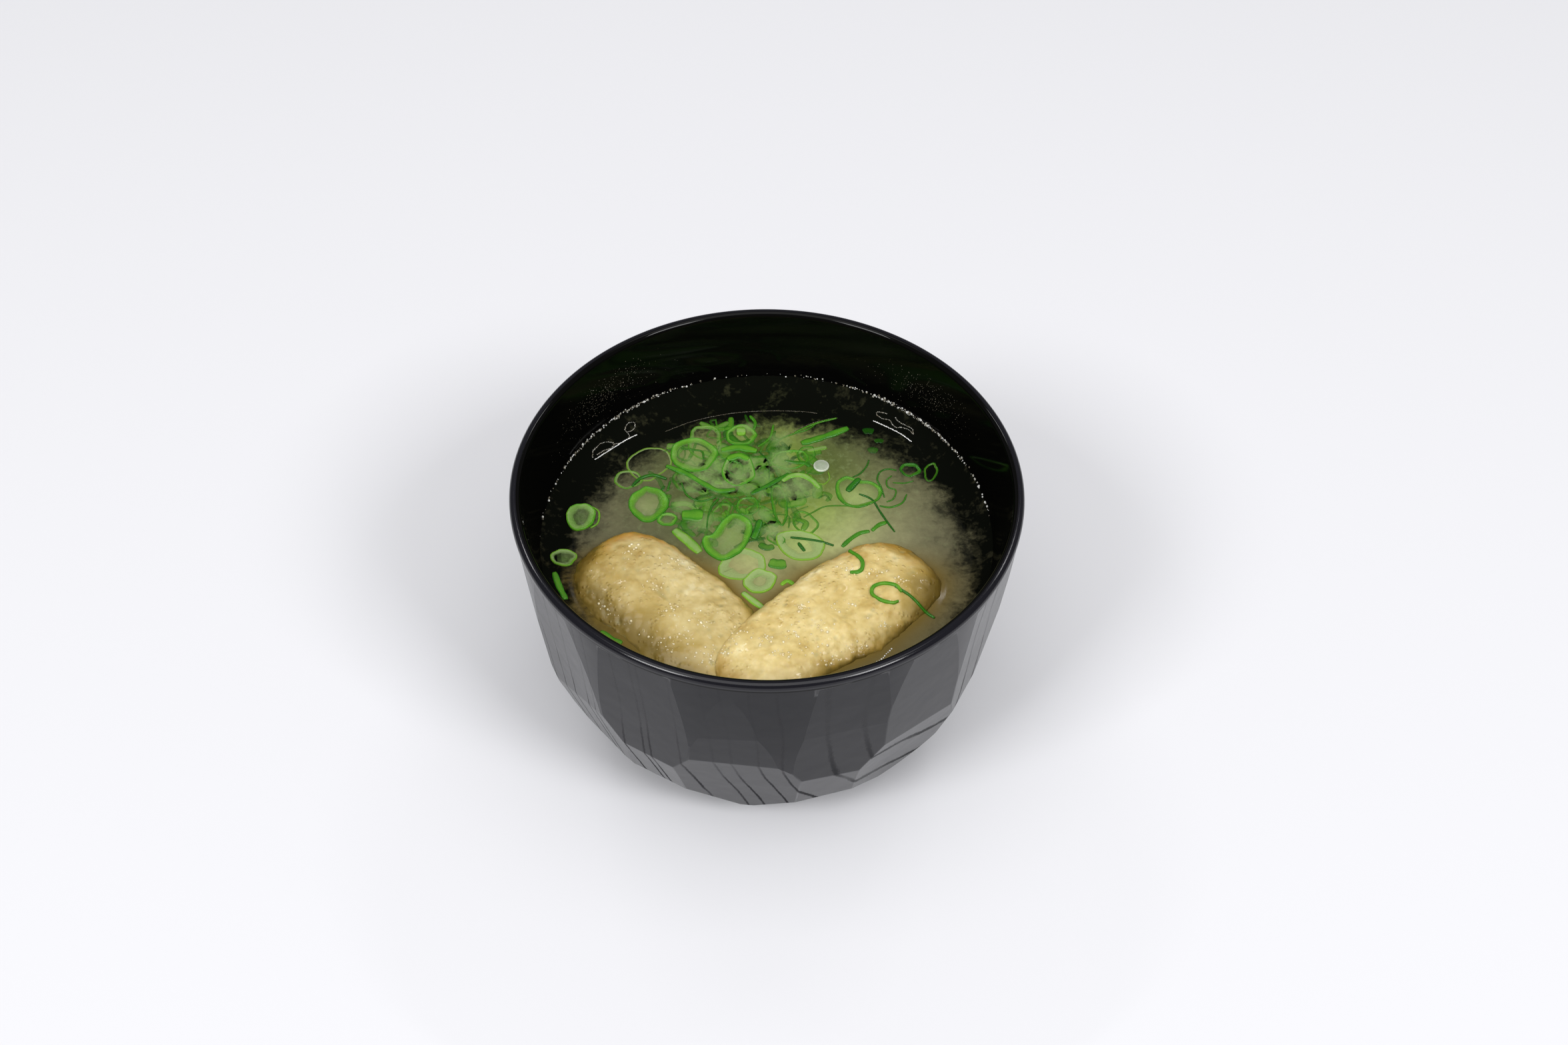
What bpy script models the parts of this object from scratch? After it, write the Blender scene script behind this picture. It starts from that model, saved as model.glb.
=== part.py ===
"""Miso soup in a hand-carved black lacquer bowl, with fried tofu and scallion rings.

The foot stands on z = 0 and the bowl is turned on +Z. The front of the bowl faces -Y.
Angles round the bowl are counted from the front (-Y) towards +X.
"""

import math
import random

import bmesh
import bpy
from mathutils import Matrix, Vector

MM = 0.001
GAP = 0.3 * MM  # clearance between solids that touch

# Turned bowl
SEGMENTS = 64
RIM_HEIGHT = 72.0 * MM  # centre of the round lip above the table
RIM_RADIUS = 57.5 * MM  # outermost radius, at the lip
LIP_RADIUS = 1.25 * MM  # round section of the lip
LIP_STEPS = 6
LIP_SKIRT = 0.9 * MM  # the lip runs straight down this far before the carving starts
CARVED_TOP = 1.3 * MM  # depth below the lip's centre where the carved body starts
WALL_DEPTH = 60.0 * MM
WALL_LEAN = 4.05 * MM  # even draw-in of the outer wall over WALL_DEPTH
WALL_BELLY = 7.05 * MM  # further draw-in, which grows towards the foot
WALL_BELLY_POWER = 5.2
BODY_DEPTH = 66.0 * MM  # where the body ends above the foot

# Hollow of the bowl
HOLLOW_DEPTH = 50.0 * MM  # height of the side wall inside
HOLLOW_LEAN = 8.0 * MM
HOLLOW_BELLY = 8.0 * MM
HOLLOW_LEVELS = (3.0, 13.0, 22.0, 30.0, 37.0, 43.5, 50.0)  # mm below the lip
FLOOR_STEPS = 4
FLOOR_DEPTH = 61.5 * MM  # inner floor below the lip
FLOOR_FLAT = 20.0 * MM  # radius of the flat part of the inner floor

# Foot ring
FOOT_OUTER = 30.5 * MM
FOOT_TAPER = 1.0 * MM
FOOT_WIDTH = 3.5 * MM  # flat face that stands on the table
FOOT_HOLLOW = 4.6 * MM  # depth inside the ring
FOOT_ROOT = 1.4 * MM  # height lost between the body's edge and the ring

# Carving: columns of flat cuts, each with a side cut, a lower cut and a bottom cut.
# A cut is (azimuth in degrees, lean in degrees from upright, reach in mm), and the reach is
# how far the plane stands from the bowl's axis at the level given here, below the lip.
COLUMNS = 15
COLUMN_STEP = 360.0 / COLUMNS
SIDE_LEVEL = 25.0 * MM
LOWER_LEVEL = 55.0 * MM
BOTTOM_LEVEL = 62.0 * MM
BOTTOM_LEAN = 42.0
# The eight columns in front, from the left side round to the right.
FRONT_SIDE_CUTS = (
    (-80.0, 5.5, 54.0),
    (-54.0, 6.2, 54.5),
    (-29.0, 5.2, 54.6),
    (-7.7, 7.9, 55.1),
    (18.4, 6.7, 54.7),
    (38.3, 5.8, 54.7),
    (63.8, 5.0, 54.0),
    (88.2, 6.0, 54.7),
)
FRONT_LOWER_CUTS = (
    (-80.3, 18.1, 47.8),
    (-48.9, 15.8, 47.9),
    (-29.7, 18.6, 48.0),
    (-7.3, 17.7, 46.8),
    (16.5, 18.4, 48.1),
    (37.4, 16.6, 47.4),
    (62.3, 17.2, 48.9),
    (88.4, 17.6, 46.0),
)
FRONT_BOTTOM_REACH = (44.0, 43.1, 41.9, 47.2, 42.5, 47.3, 44.0, 44.0)
# Second, more upright strokes at the top of the two middle columns.
FRONT_UPPER_CUTS = ((-8.1, 5.3, 55.3), (18.6, 5.1, 54.8))
# The columns behind follow the same hand with a little scatter.
CARVER_SEED = 15
BACK_SIDE_CUT = (5.8, 54.5)
BACK_LOWER_CUT = (17.4, 47.6)
BACK_BOTTOM_REACH = 44.0
TURN_SCATTER = 1.6  # degrees
LEAN_SCATTER = 0.7  # degrees
REACH_SCATTER = 0.4  # mm

# Soup
SOUP_DEPTH = 19.0 * MM  # level of the soup below the lip's centre
SOUP_LEVEL = RIM_HEIGHT - SOUP_DEPTH
MENISCUS_RISE = 2.7 * MM  # how far the soup climbs the wall
MENISCUS_REACH = 2.2 * MM  # distance from the wall over which the rise falls to 1/e
MENISCUS_STEPS = (0.7, 1.6, 3.0, 5.5)  # mm from the wall
MENISCUS_END = 8.5 * MM  # the surface is level from here to the middle

# Fried tofu: puffy slices with a rounded outline, floating in the soup. Places are in mm,
# x to the right and y to the back; up and down are the heights of the two faces from the
# slice's waist, which lies at `waist` above the soup's level.
TOFU_AROUND = 32
TOFU_BANDS = 8
TOFU_EDGE_POWER = 0.42  # how full the edge is, seen in section
TOFU_FACE_POWER = 0.8
TOFU_ROOM = 0.4 * MM  # swelling of the slices that cut their neighbours
TOFU_SLICES = {
    "fried_tofu_left": {
        "place": (-20.8, -22.7),
        "turn": -45.4,
        "half_size": (27.2, 14.5),
        "corner": 3.0,
        "taper": 0.0,
        "waist": -1.6,
        "up": 4.9,
        "down": 5.6,
        "tilt": (1.0, 1.5),
        "wobble": 0.25,
        "phase": 0.6,
    },
    "fried_tofu_right": {
        "place": (13.2, -24.8),
        "turn": 39.5,
        "half_size": (28.6, 12.9),
        "corner": 3.1,
        "taper": 0.10,
        "waist": -0.6,
        "up": 4.6,
        "down": 4.4,
        "tilt": (-0.5, -2.2),
        "wobble": 0.3,
        "phase": 2.1,
    },
}

# Scallion rings lying on the soup: place, half length, half width (mm), turn (degrees),
# and how far the outline is pinched like a bean on one side.
RING_AROUND = 20
RING_HEIGHT = 1.5 * MM
RING_WALL = 1.1 * MM
RING_ROUND = 0.3 * MM
EDGE_LIFT = 0.3 * MM  # a ring beside the wall rides up on the rim of the liquid
EDGE_ZONE = 40.0 * MM
SCALLION_RINGS = (
    (-43.4, 6.4, 4.3, 3.3, 80.0, 0.05),
    (-28.0, 10.6, 5.2, 4.6, 70.0, 0.06),
    (-17.6, 26.4, 5.8, 5.5, 10.0, 0.02),
    (-6.9, 22.0, 4.4, 4.0, 60.0, 0.04),
    (-9.2, 0.6, 6.8, 5.0, 52.0, 0.14),
    (-1.4, -12.4, 3.7, 3.4, 20.0, 0.0),
    (21.8, 15.0, 5.9, 5.2, 15.0, 0.05),
    (6.6, -1.8, 5.4, 4.5, 10.0, 0.03),
    (5.4, 25.6, 4.8, 3.1, 6.0, 0.10),
    (-4.6, 9.8, 3.4, 2.9, 80.0, 0.0),
)

# Colours: linear RGB, roughness
FINISHES = {
    "bowl": ((0.010, 0.010, 0.011), 0.32),
    "soup": ((0.17, 0.16, 0.09), 0.10),
    "tofu": ((0.66, 0.50, 0.24), 0.45),
    "scallion": ((0.22, 0.45, 0.08), 0.35),
}


def clear_scene():
    for obj in list(bpy.data.objects):
        bpy.data.objects.remove(obj, do_unlink=True)


def make_material(name):
    colour, roughness = FINISHES[name]
    material = bpy.data.materials.new(name)
    material.use_nodes = True
    shader = material.node_tree.nodes["Principled BSDF"]
    shader.inputs["Base Color"].default_value = (*colour, 1.0)
    shader.inputs["Roughness"].default_value = roughness
    shader.inputs["Metallic"].default_value = 0.0
    return material


def finish_object(name, bm, material, sharp_angle=40.0, facets=None):
    """Turns a bmesh into a named object with smooth shading.

    Edges bend sharply above sharp_angle degrees, and where two different facets meet.
    """
    bmesh.ops.recalc_face_normals(bm, faces=bm.faces)
    limit = math.radians(sharp_angle)
    for face in bm.faces:
        face.smooth = True
    for edge in bm.edges:
        one, other = edge.link_faces
        edge.smooth = edge.calc_face_angle() < limit
        if facets is not None and one[facets] != other[facets]:
            edge.smooth = False
    mesh = bpy.data.meshes.new(name)
    bm.to_mesh(mesh)
    bm.free()
    mesh.materials.append(material)
    obj = bpy.data.objects.new(name, mesh)
    bpy.context.scene.collection.objects.link(obj)
    return obj


def ring_of_vertices(bm, radius, height, segments):
    """One level ring of vertices, which starts at +X and runs anticlockwise."""
    step = 2.0 * math.pi / segments
    return [
        bm.verts.new((radius * math.cos(i * step), radius * math.sin(i * step), height))
        for i in range(segments)
    ]


def skin_rings(bm, rings):
    """Quads between each pair of neighbouring rings with equal counts."""
    for lower, upper in zip(rings, rings[1:]):
        count = len(lower)
        for i in range(count):
            k = (i + 1) % count
            bm.faces.new((lower[i], lower[k], upper[k], upper[i]))


def lathe(bm, profile, segments):
    """Turns a profile of (radius, height) points and returns its rings."""
    rings = [ring_of_vertices(bm, r, z, segments) for r, z in profile]
    skin_rings(bm, rings)
    return rings


def turn_of(vertex):
    """Angle of a vertex round the axis, from 0 to a full turn."""
    return math.atan2(vertex.co.y, vertex.co.x) % (2.0 * math.pi)


def zip_loops(bm, first, second):
    """Joins two closed loops round the axis, whose counts may differ, with triangles."""
    first = sorted(first, key=turn_of)
    second = sorted(second, key=turn_of)
    full = 2.0 * math.pi
    i = j = 0
    while i < len(first) or j < len(second):
        next_i = turn_of(first[(i + 1) % len(first)]) + full * ((i + 1) // len(first))
        next_j = turn_of(second[(j + 1) % len(second)]) + full * ((j + 1) // len(second))
        a, b = first[i % len(first)], second[j % len(second)]
        if j >= len(second) or (i < len(first) and next_i <= next_j):
            bm.faces.new((a, first[(i + 1) % len(first)], b))
            i += 1
        else:
            bm.faces.new((a, second[(j + 1) % len(second)], b))
            j += 1


# ---- bowl ----


def wall_radius(depth):
    """Outer radius of the turned wall before it is carved."""
    t = depth / WALL_DEPTH
    return RIM_RADIUS - WALL_LEAN * t - WALL_BELLY * t**WALL_BELLY_POWER


def hollow_radius(depth):
    """Inner radius of the bowl's side wall."""
    t = depth / HOLLOW_DEPTH
    return RIM_RADIUS - 2.0 * LIP_RADIUS - HOLLOW_LEAN * t - HOLLOW_BELLY * t**3


def hollow_profile(from_depth, clearance=0.0):
    """Inner wall from a depth down to the flat of the floor, as (radius, depth)."""
    depths = [from_depth] + [d * MM for d in HOLLOW_LEVELS if d * MM > from_depth + MM]
    points = [(hollow_radius(d) - clearance, d) for d in depths]
    # The side runs on into the floor along a smooth bend, a quadratic curve whose middle
    # point lies where the side's slope meets the floor.
    start = Vector(points[-1])
    end = Vector((FLOOR_FLAT, FLOOR_DEPTH - clearance))
    slope = (HOLLOW_LEAN + 3.0 * HOLLOW_BELLY) / HOLLOW_DEPTH
    corner = Vector((start.x - slope * (end.y - start.y), end.y))
    for i in range(1, FLOOR_STEPS + 1):
        t = i / FLOOR_STEPS
        point = start * (1 - t) ** 2 + corner * 2.0 * t * (1 - t) + end * t**2
        points.append((point.x, point.y))
    return points


def column_cuts():
    """Every cut of the carving as (azimuth, lean, reach, level)."""
    cuts = []
    for cut in FRONT_SIDE_CUTS + FRONT_UPPER_CUTS:
        cuts.append((*cut, SIDE_LEVEL))
    for cut, bottom_reach in zip(FRONT_LOWER_CUTS, FRONT_BOTTOM_REACH):
        cuts.append((*cut, LOWER_LEVEL))
        cuts.append((cut[0], BOTTOM_LEAN, bottom_reach, BOTTOM_LEVEL))
    hand = random.Random(CARVER_SEED)
    last_front = FRONT_SIDE_CUTS[-1][0]
    for i in range(1, COLUMNS - len(FRONT_SIDE_CUTS) + 1):
        azimuth = last_front + i * COLUMN_STEP
        for (lean, reach), level in (
            (BACK_SIDE_CUT, SIDE_LEVEL),
            (BACK_LOWER_CUT, LOWER_LEVEL),
            ((BOTTOM_LEAN, BACK_BOTTOM_REACH), BOTTOM_LEVEL),
        ):
            turned = azimuth + hand.uniform(-TURN_SCATTER, TURN_SCATTER)
            leant = lean + hand.uniform(-LEAN_SCATTER, LEAN_SCATTER)
            reached = reach + hand.uniform(-REACH_SCATTER, REACH_SCATTER)
            cuts.append((turned, leant, reached, level))
    return cuts


def carve(bm, facets, number, azimuth, lean, reach, level):
    """Slices the body with one plane, drops what is outside it and closes the cut."""
    turn = math.radians(azimuth)
    tilt = math.radians(lean)
    outward = Vector((math.sin(turn), -math.cos(turn), 0.0))
    normal = outward * math.cos(tilt) - Vector((0.0, 0.0, math.sin(tilt)))
    point = outward * reach * MM + Vector((0.0, 0.0, RIM_HEIGHT - level))
    result = bmesh.ops.bisect_plane(
        bm,
        geom=bm.verts[:] + bm.edges[:] + bm.faces[:],
        dist=0.00001 * MM,
        plane_co=point,
        plane_no=normal,
        clear_outer=True,
    )
    edges = [e for e in result["geom_cut"] if isinstance(e, bmesh.types.BMEdge)]
    if edges:
        filled = bmesh.ops.edgeloop_fill(bm, edges=edges)
        for face in filled["faces"]:
            face[facets] = number


def carved_body(bm, facets):
    """The turned body after carving, open at both ends; returns its two end loops.

    Each cut face is marked with the number of its cut, and the turned surface with 0.
    """
    side_steps = 11
    depths = [
        CARVED_TOP + (BODY_DEPTH - CARVED_TOP) * i / side_steps for i in range(side_steps + 1)
    ]
    profile = [(wall_radius(d), RIM_HEIGHT - d) for d in reversed(depths)]
    rings = lathe(bm, profile, SEGMENTS)
    bm.faces.new(list(reversed(rings[0])))
    bm.faces.new(rings[-1])
    for number, cut in enumerate(column_cuts(), 1):
        carve(bm, facets, number, *cut)
    bmesh.ops.remove_doubles(bm, verts=bm.verts[:], dist=0.02 * MM)
    ends = []
    for depth, up in ((CARVED_TOP, 1.0), (BODY_DEPTH, -1.0)):
        height = RIM_HEIGHT - depth
        bm.faces.ensure_lookup_table()
        lids = [
            f
            for f in bm.faces
            if all(abs(v.co.z - height) < 0.01 * MM for v in f.verts)
        ]
        loop = {v for f in lids for v in f.verts}
        bmesh.ops.delete(bm, geom=lids, context="FACES_ONLY")
        ends.append([v for v in loop if v.is_valid])
    return ends


def lip_profile():
    """Skirt, round top and inner edge of the lip, from outside to inside."""
    centre = RIM_RADIUS - LIP_RADIUS
    points = [(wall_radius(LIP_SKIRT), RIM_HEIGHT - LIP_SKIRT)]
    for i in range(LIP_STEPS + 1):
        angle = math.pi * i / LIP_STEPS
        points.append(
            (centre + LIP_RADIUS * math.cos(angle), RIM_HEIGHT + LIP_RADIUS * math.sin(angle))
        )
    return points


def foot_profile():
    """From the body's lower edge round the foot ring to the middle of its hollow."""
    root = RIM_HEIGHT - BODY_DEPTH - FOOT_ROOT
    standing = FOOT_OUTER - FOOT_TAPER
    inner = standing - FOOT_WIDTH
    return [
        (FOOT_OUTER, root),
        (standing, 0.4 * MM),
        (standing - 0.4 * MM, 0.0),
        (inner + 0.4 * MM, 0.0),
        (inner, 0.4 * MM),
        (inner - FOOT_TAPER, FOOT_HOLLOW - 0.8 * MM),
        (inner - FOOT_TAPER - 1.2 * MM, FOOT_HOLLOW),
    ]


def make_bowl(material):
    bm = bmesh.new()
    facets = bm.faces.layers.int.new("facet")
    top_loop, bottom_loop = carved_body(bm, facets)
    inside = [(r, RIM_HEIGHT - d) for r, d in hollow_profile(HOLLOW_LEVELS[0] * MM)]
    upper = lathe(bm, lip_profile() + inside, SEGMENTS)
    zip_loops(bm, top_loop, upper[0])
    bm.faces.new(upper[-1])
    foot = lathe(bm, foot_profile(), SEGMENTS)
    zip_loops(bm, bottom_loop, foot[0])
    bm.faces.new(foot[-1])
    return finish_object("bowl", bm, material, facets=facets)


# ---- tofu ----


def signed_power(value, power):
    return math.copysign(abs(value) ** power, value)


def slice_outline(shape, angle):
    """Distance from the slice's middle to its outline, in mm."""
    half_length, half_width = shape["half_size"]
    c, s = math.cos(angle), math.sin(angle)
    corner = shape["corner"]
    width = half_width * (1.0 + shape["taper"] * c)
    plain = (abs(c / half_length) ** corner + abs(s / width) ** corner) ** (-1.0 / corner)
    phase = shape["phase"]
    lumps = math.sin(5.0 * angle + phase) + 0.6 * math.sin(8.0 * angle + 2.3 * phase)
    return plain + shape["wobble"] * lumps


def slice_mesh(shape, grow=0.0):
    """Closed puffy slice; grow swells it evenly, in metres, to cut its neighbours."""
    bm = bmesh.new()
    across, along = shape["tilt"]
    place = (
        Matrix.Translation((shape["place"][0] * MM, shape["place"][1] * MM, SOUP_LEVEL))
        @ Matrix.Translation((0.0, 0.0, shape["waist"] * MM))
        @ Matrix.Rotation(math.radians(shape["turn"]), 4, "Z")
        @ Matrix.Rotation(math.radians(across), 4, "X")
        @ Matrix.Rotation(math.radians(along), 4, "Y")
    )
    rings = []
    for band in range(1, TOFU_BANDS):
        rise = -0.5 * math.pi + math.pi * band / TOFU_BANDS
        spread = math.cos(rise) ** TOFU_EDGE_POWER
        face = shape["up"] if rise > 0.0 else shape["down"]
        height = face * MM * signed_power(math.sin(rise), TOFU_FACE_POWER)
        height += math.copysign(grow, height) if band != TOFU_BANDS // 2 else 0.0
        ring = []
        for i in range(TOFU_AROUND):
            angle = 2.0 * math.pi * i / TOFU_AROUND
            reach = slice_outline(shape, angle) * MM * spread + grow
            ring.append(bm.verts.new((reach * math.cos(angle), reach * math.sin(angle), height)))
        rings.append(ring)
    skin_rings(bm, rings)
    for face, end in ((shape["up"], rings[-1]), (shape["down"], rings[0])):
        side = 1.0 if end is rings[-1] else -1.0
        pole = bm.verts.new((0.0, 0.0, side * (face * MM + grow)))
        for i in range(TOFU_AROUND):
            bm.faces.new((end[i], end[(i + 1) % TOFU_AROUND], pole))
    bm.transform(place)
    return bm


def cutter_from(name, bm):
    """A hidden copy used only to cut its neighbours."""
    bmesh.ops.recalc_face_normals(bm, faces=bm.faces)
    mesh = bpy.data.meshes.new(name)
    bm.to_mesh(mesh)
    bm.free()
    obj = bpy.data.objects.new(name, mesh)
    obj.hide_render = True
    obj.display_type = "WIRE"
    bpy.context.scene.collection.objects.link(obj)
    return obj


def cut_with(obj, cutter):
    modifier = obj.modifiers.new("cut by " + cutter.name, "BOOLEAN")
    modifier.operation = "DIFFERENCE"
    modifier.solver = "EXACT"
    modifier.object = cutter


def make_tofu(material):
    """Both slices; the right one lies over the left one's end. Returns their cutters."""
    slices, cutters = {}, {}
    for name, shape in TOFU_SLICES.items():
        slices[name] = finish_object(name, slice_mesh(shape), material, 60.0)
        cutters[name] = cutter_from("room_for_" + name, slice_mesh(shape, TOFU_ROOM))
    cut_with(slices["fried_tofu_left"], cutters["fried_tofu_right"])
    return list(cutters.values())


# ---- soup ----


def make_soup(material, cutters):
    """Liquid up to its level, with the rim that climbs the wall, cut round the tofu."""
    bm = bmesh.new()
    contact = SOUP_DEPTH - MENISCUS_RISE
    wall = [(r, RIM_HEIGHT - d) for r, d in hollow_profile(contact, GAP)]
    edge = wall[0][0]
    surface = [(edge - MENISCUS_END, SOUP_LEVEL)]
    for step in reversed(MENISCUS_STEPS):
        rise = MENISCUS_RISE * math.exp(-step * MM / MENISCUS_REACH)
        surface.append((edge - step * MM, SOUP_LEVEL + rise))
    rings = lathe(bm, surface + wall, SEGMENTS)
    middle = bm.verts.new((0.0, 0.0, SOUP_LEVEL))
    for i in range(SEGMENTS):
        bm.faces.new((rings[0][i], rings[0][(i + 1) % SEGMENTS], middle))
    bm.faces.new(rings[-1])
    soup = finish_object("soup", bm, material)
    for cutter in cutters:
        cut_with(soup, cutter)
    return soup


# ---- scallions ----


def ring_outline(half_length, half_width, pinch, angle):
    """Distance from the middle of a scallion ring to its outer edge, in mm."""
    oval = math.hypot(math.cos(angle) / half_length, math.sin(angle) / half_width)
    return (1.0 / oval) * (1.0 - pinch * (1.0 + math.sin(angle)) ** 2 / 2.0)


def make_scallion_ring(name, material, x, y, half_length, half_width, turn, pinch):
    """A slice of hollow leaf: an oval tube wall with rounded edges."""
    bm = bmesh.new()
    section = (
        (0.0, 0.0),
        (0.0, RING_HEIGHT - RING_ROUND),
        (RING_ROUND, RING_HEIGHT),
        (RING_WALL - RING_ROUND, RING_HEIGHT),
        (RING_WALL, RING_HEIGHT - RING_ROUND),
        (RING_WALL, 0.0),
    )
    rings = []
    for inset, height in section:
        ring = []
        for i in range(RING_AROUND):
            angle = 2.0 * math.pi * i / RING_AROUND
            reach = ring_outline(half_length, half_width, pinch, angle) * MM - inset
            ring.append(bm.verts.new((reach * math.cos(angle), reach * math.sin(angle), height)))
        rings.append(ring)
    skin_rings(bm, rings + [rings[0]])
    lift = EDGE_LIFT if math.hypot(x, y) * MM > EDGE_ZONE else 0.0
    bm.transform(
        Matrix.Translation((x * MM, y * MM, SOUP_LEVEL + GAP + lift))
        @ Matrix.Rotation(math.radians(turn), 4, "Z")
    )
    return finish_object(name, bm, material, 60.0)


def build():
    clear_scene()
    materials = {name: make_material(name) for name in FINISHES}
    make_bowl(materials["bowl"])
    cutters = make_tofu(materials["tofu"])
    make_soup(materials["soup"], cutters)
    for number, ring in enumerate(SCALLION_RINGS, 1):
        make_scallion_ring(f"scallion_ring_{number}", materials["scallion"], *ring)


build()
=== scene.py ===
import math
import random

import bmesh
import bpy
from mathutils import Matrix, Vector, noise
from mathutils.bvhtree import BVHTree


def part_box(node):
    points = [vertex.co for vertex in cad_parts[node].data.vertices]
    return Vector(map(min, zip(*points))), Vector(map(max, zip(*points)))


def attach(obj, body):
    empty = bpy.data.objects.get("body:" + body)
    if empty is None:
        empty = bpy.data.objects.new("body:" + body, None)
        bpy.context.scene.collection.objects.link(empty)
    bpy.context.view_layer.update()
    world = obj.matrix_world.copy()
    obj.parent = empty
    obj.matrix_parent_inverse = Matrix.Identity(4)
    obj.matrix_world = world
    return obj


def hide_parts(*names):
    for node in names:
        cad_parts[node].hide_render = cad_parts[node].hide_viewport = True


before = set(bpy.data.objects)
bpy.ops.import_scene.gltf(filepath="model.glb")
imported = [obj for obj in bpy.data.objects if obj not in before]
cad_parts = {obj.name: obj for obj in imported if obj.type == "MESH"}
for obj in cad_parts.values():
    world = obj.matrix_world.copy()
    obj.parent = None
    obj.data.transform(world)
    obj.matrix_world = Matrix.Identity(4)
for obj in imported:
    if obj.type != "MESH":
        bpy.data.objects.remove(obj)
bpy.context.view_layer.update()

mm = 0.001
bowlLow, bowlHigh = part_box("bowl")
scene = bpy.context.scene
fullTurn = 2 * math.pi

# everything below is worked out in millimetres; this scales a finished mesh to metres


def newPiece(name, bm, materials, smooth=True):
    bmesh.ops.recalc_face_normals(bm, faces=bm.faces)
    bm.transform(Matrix.Scale(mm, 4))
    mesh = bpy.data.meshes.new(name)
    for face in bm.faces:
        face.smooth = smooth
    bm.to_mesh(mesh)
    bm.free()
    for material in materials:
        mesh.materials.append(material)
    piece = bpy.data.objects.new(name, mesh)
    scene.collection.objects.link(piece)
    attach(piece, "root")
    return piece


def ringOfPoints(bm, radius, height, count):
    return [
        bm.verts.new((radius * math.cos(fullTurn * i / count), radius * math.sin(fullTurn * i / count), height))
        for i in range(count)
    ]


def skin(bm, rings, material=0, closed=False):
    made = []
    pairs = list(zip(rings, rings[1:] + rings[:1])) if closed else list(zip(rings, rings[1:]))
    for low, high in pairs:
        for i in range(len(low)):
            k = (i + 1) % len(low)
            face = bm.faces.new((low[i], low[k], high[k], high[i]))
            face.material_index = material
            made.append(face)
    return made


def smoothStep(low, high, x):
    t = min(1, max(0, (x - low) / (high - low)))
    return t * t * (3 - 2 * t)


# ---------- materials


def newMaterial(name):
    material = bpy.data.materials.new(name)
    material.use_nodes = True
    return material, material.node_tree, material.node_tree.nodes["Principled BSDF"]


def addNode(tree, kind, inputs=None, **settings):
    node = tree.nodes.new(kind)
    for key, value in settings.items():
        setattr(node, key, value)
    for key, value in (inputs or {}).items():
        if isinstance(value, bpy.types.NodeSocket):
            tree.links.new(value, node.inputs[key])
        else:
            node.inputs[key].default_value = value
    return node


def mathNode(tree, operation, a, b=0.0, clamp=False):
    return addNode(tree, "ShaderNodeMath", {0: a, 1: b}, operation=operation, use_clamp=clamp).outputs[0]


def rampNode(tree, factor, stops):
    node = addNode(tree, "ShaderNodeValToRGB", {0: factor})
    ramp = node.color_ramp
    while len(ramp.elements) < len(stops):
        ramp.elements.new(0.5)
    for element, (place, colour) in zip(ramp.elements, stops):
        element.position = place
        element.color = (*colour, 1) if len(colour) == 3 else colour
    return node.outputs[0]


def greyRamp(tree, factor, low, high, darkFirst=True):
    stops = [(low, (0, 0, 0)), (high, (1, 1, 1))] if darkFirst else [(low, (1, 1, 1)), (high, (0, 0, 0))]
    return rampNode(tree, factor, stops)


def mixColour(tree, factor, a, b, blend="MIX"):
    node = addNode(tree, "ShaderNodeMix", data_type="RGBA", blend_type=blend)
    for index, value in ((0, factor), (6, a), (7, b)):
        if isinstance(value, bpy.types.NodeSocket):
            tree.links.new(value, node.inputs[index])
        elif index:
            node.inputs[index].default_value = (*value, 1)
        else:
            node.inputs[index].default_value = value
    return node.outputs[2]


def placeInMm(tree, stretch=(1, 1, 1)):
    coords = addNode(tree, "ShaderNodeTexCoord")
    scaled = addNode(
        tree, "ShaderNodeVectorMath", {0: coords.outputs["Object"], 1: [s / mm for s in stretch]}, operation="MULTIPLY"
    )
    return scaled.outputs[0]


def noiseNode(tree, vector, scale, detail=2.0, rough=0.5, warp=0.0):
    node = addNode(tree, "ShaderNodeTexNoise", {"Vector": vector, "Scale": scale, "Detail": detail})
    node.inputs["Roughness"].default_value = rough
    node.inputs["Distortion"].default_value = warp
    return node.outputs["Fac"]


def bumpNode(tree, height, distance, strength=1.0, normal=None):
    node = addNode(tree, "ShaderNodeBump", {"Height": height, "Distance": distance, "Strength": strength})
    if normal is not None:
        tree.links.new(normal, node.inputs["Normal"])
    return node.outputs[0]


# black lacquer wiped over carved wood: growth rings stand as upright sheets
grain = {
    "sheetNormal": (0.681, -0.732, -0.032),
    "ringSpacing": 4.8,
    "lineWidth": 0.075,
    "colour": (0.0045, 0.0045, 0.0068),
}


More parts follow.
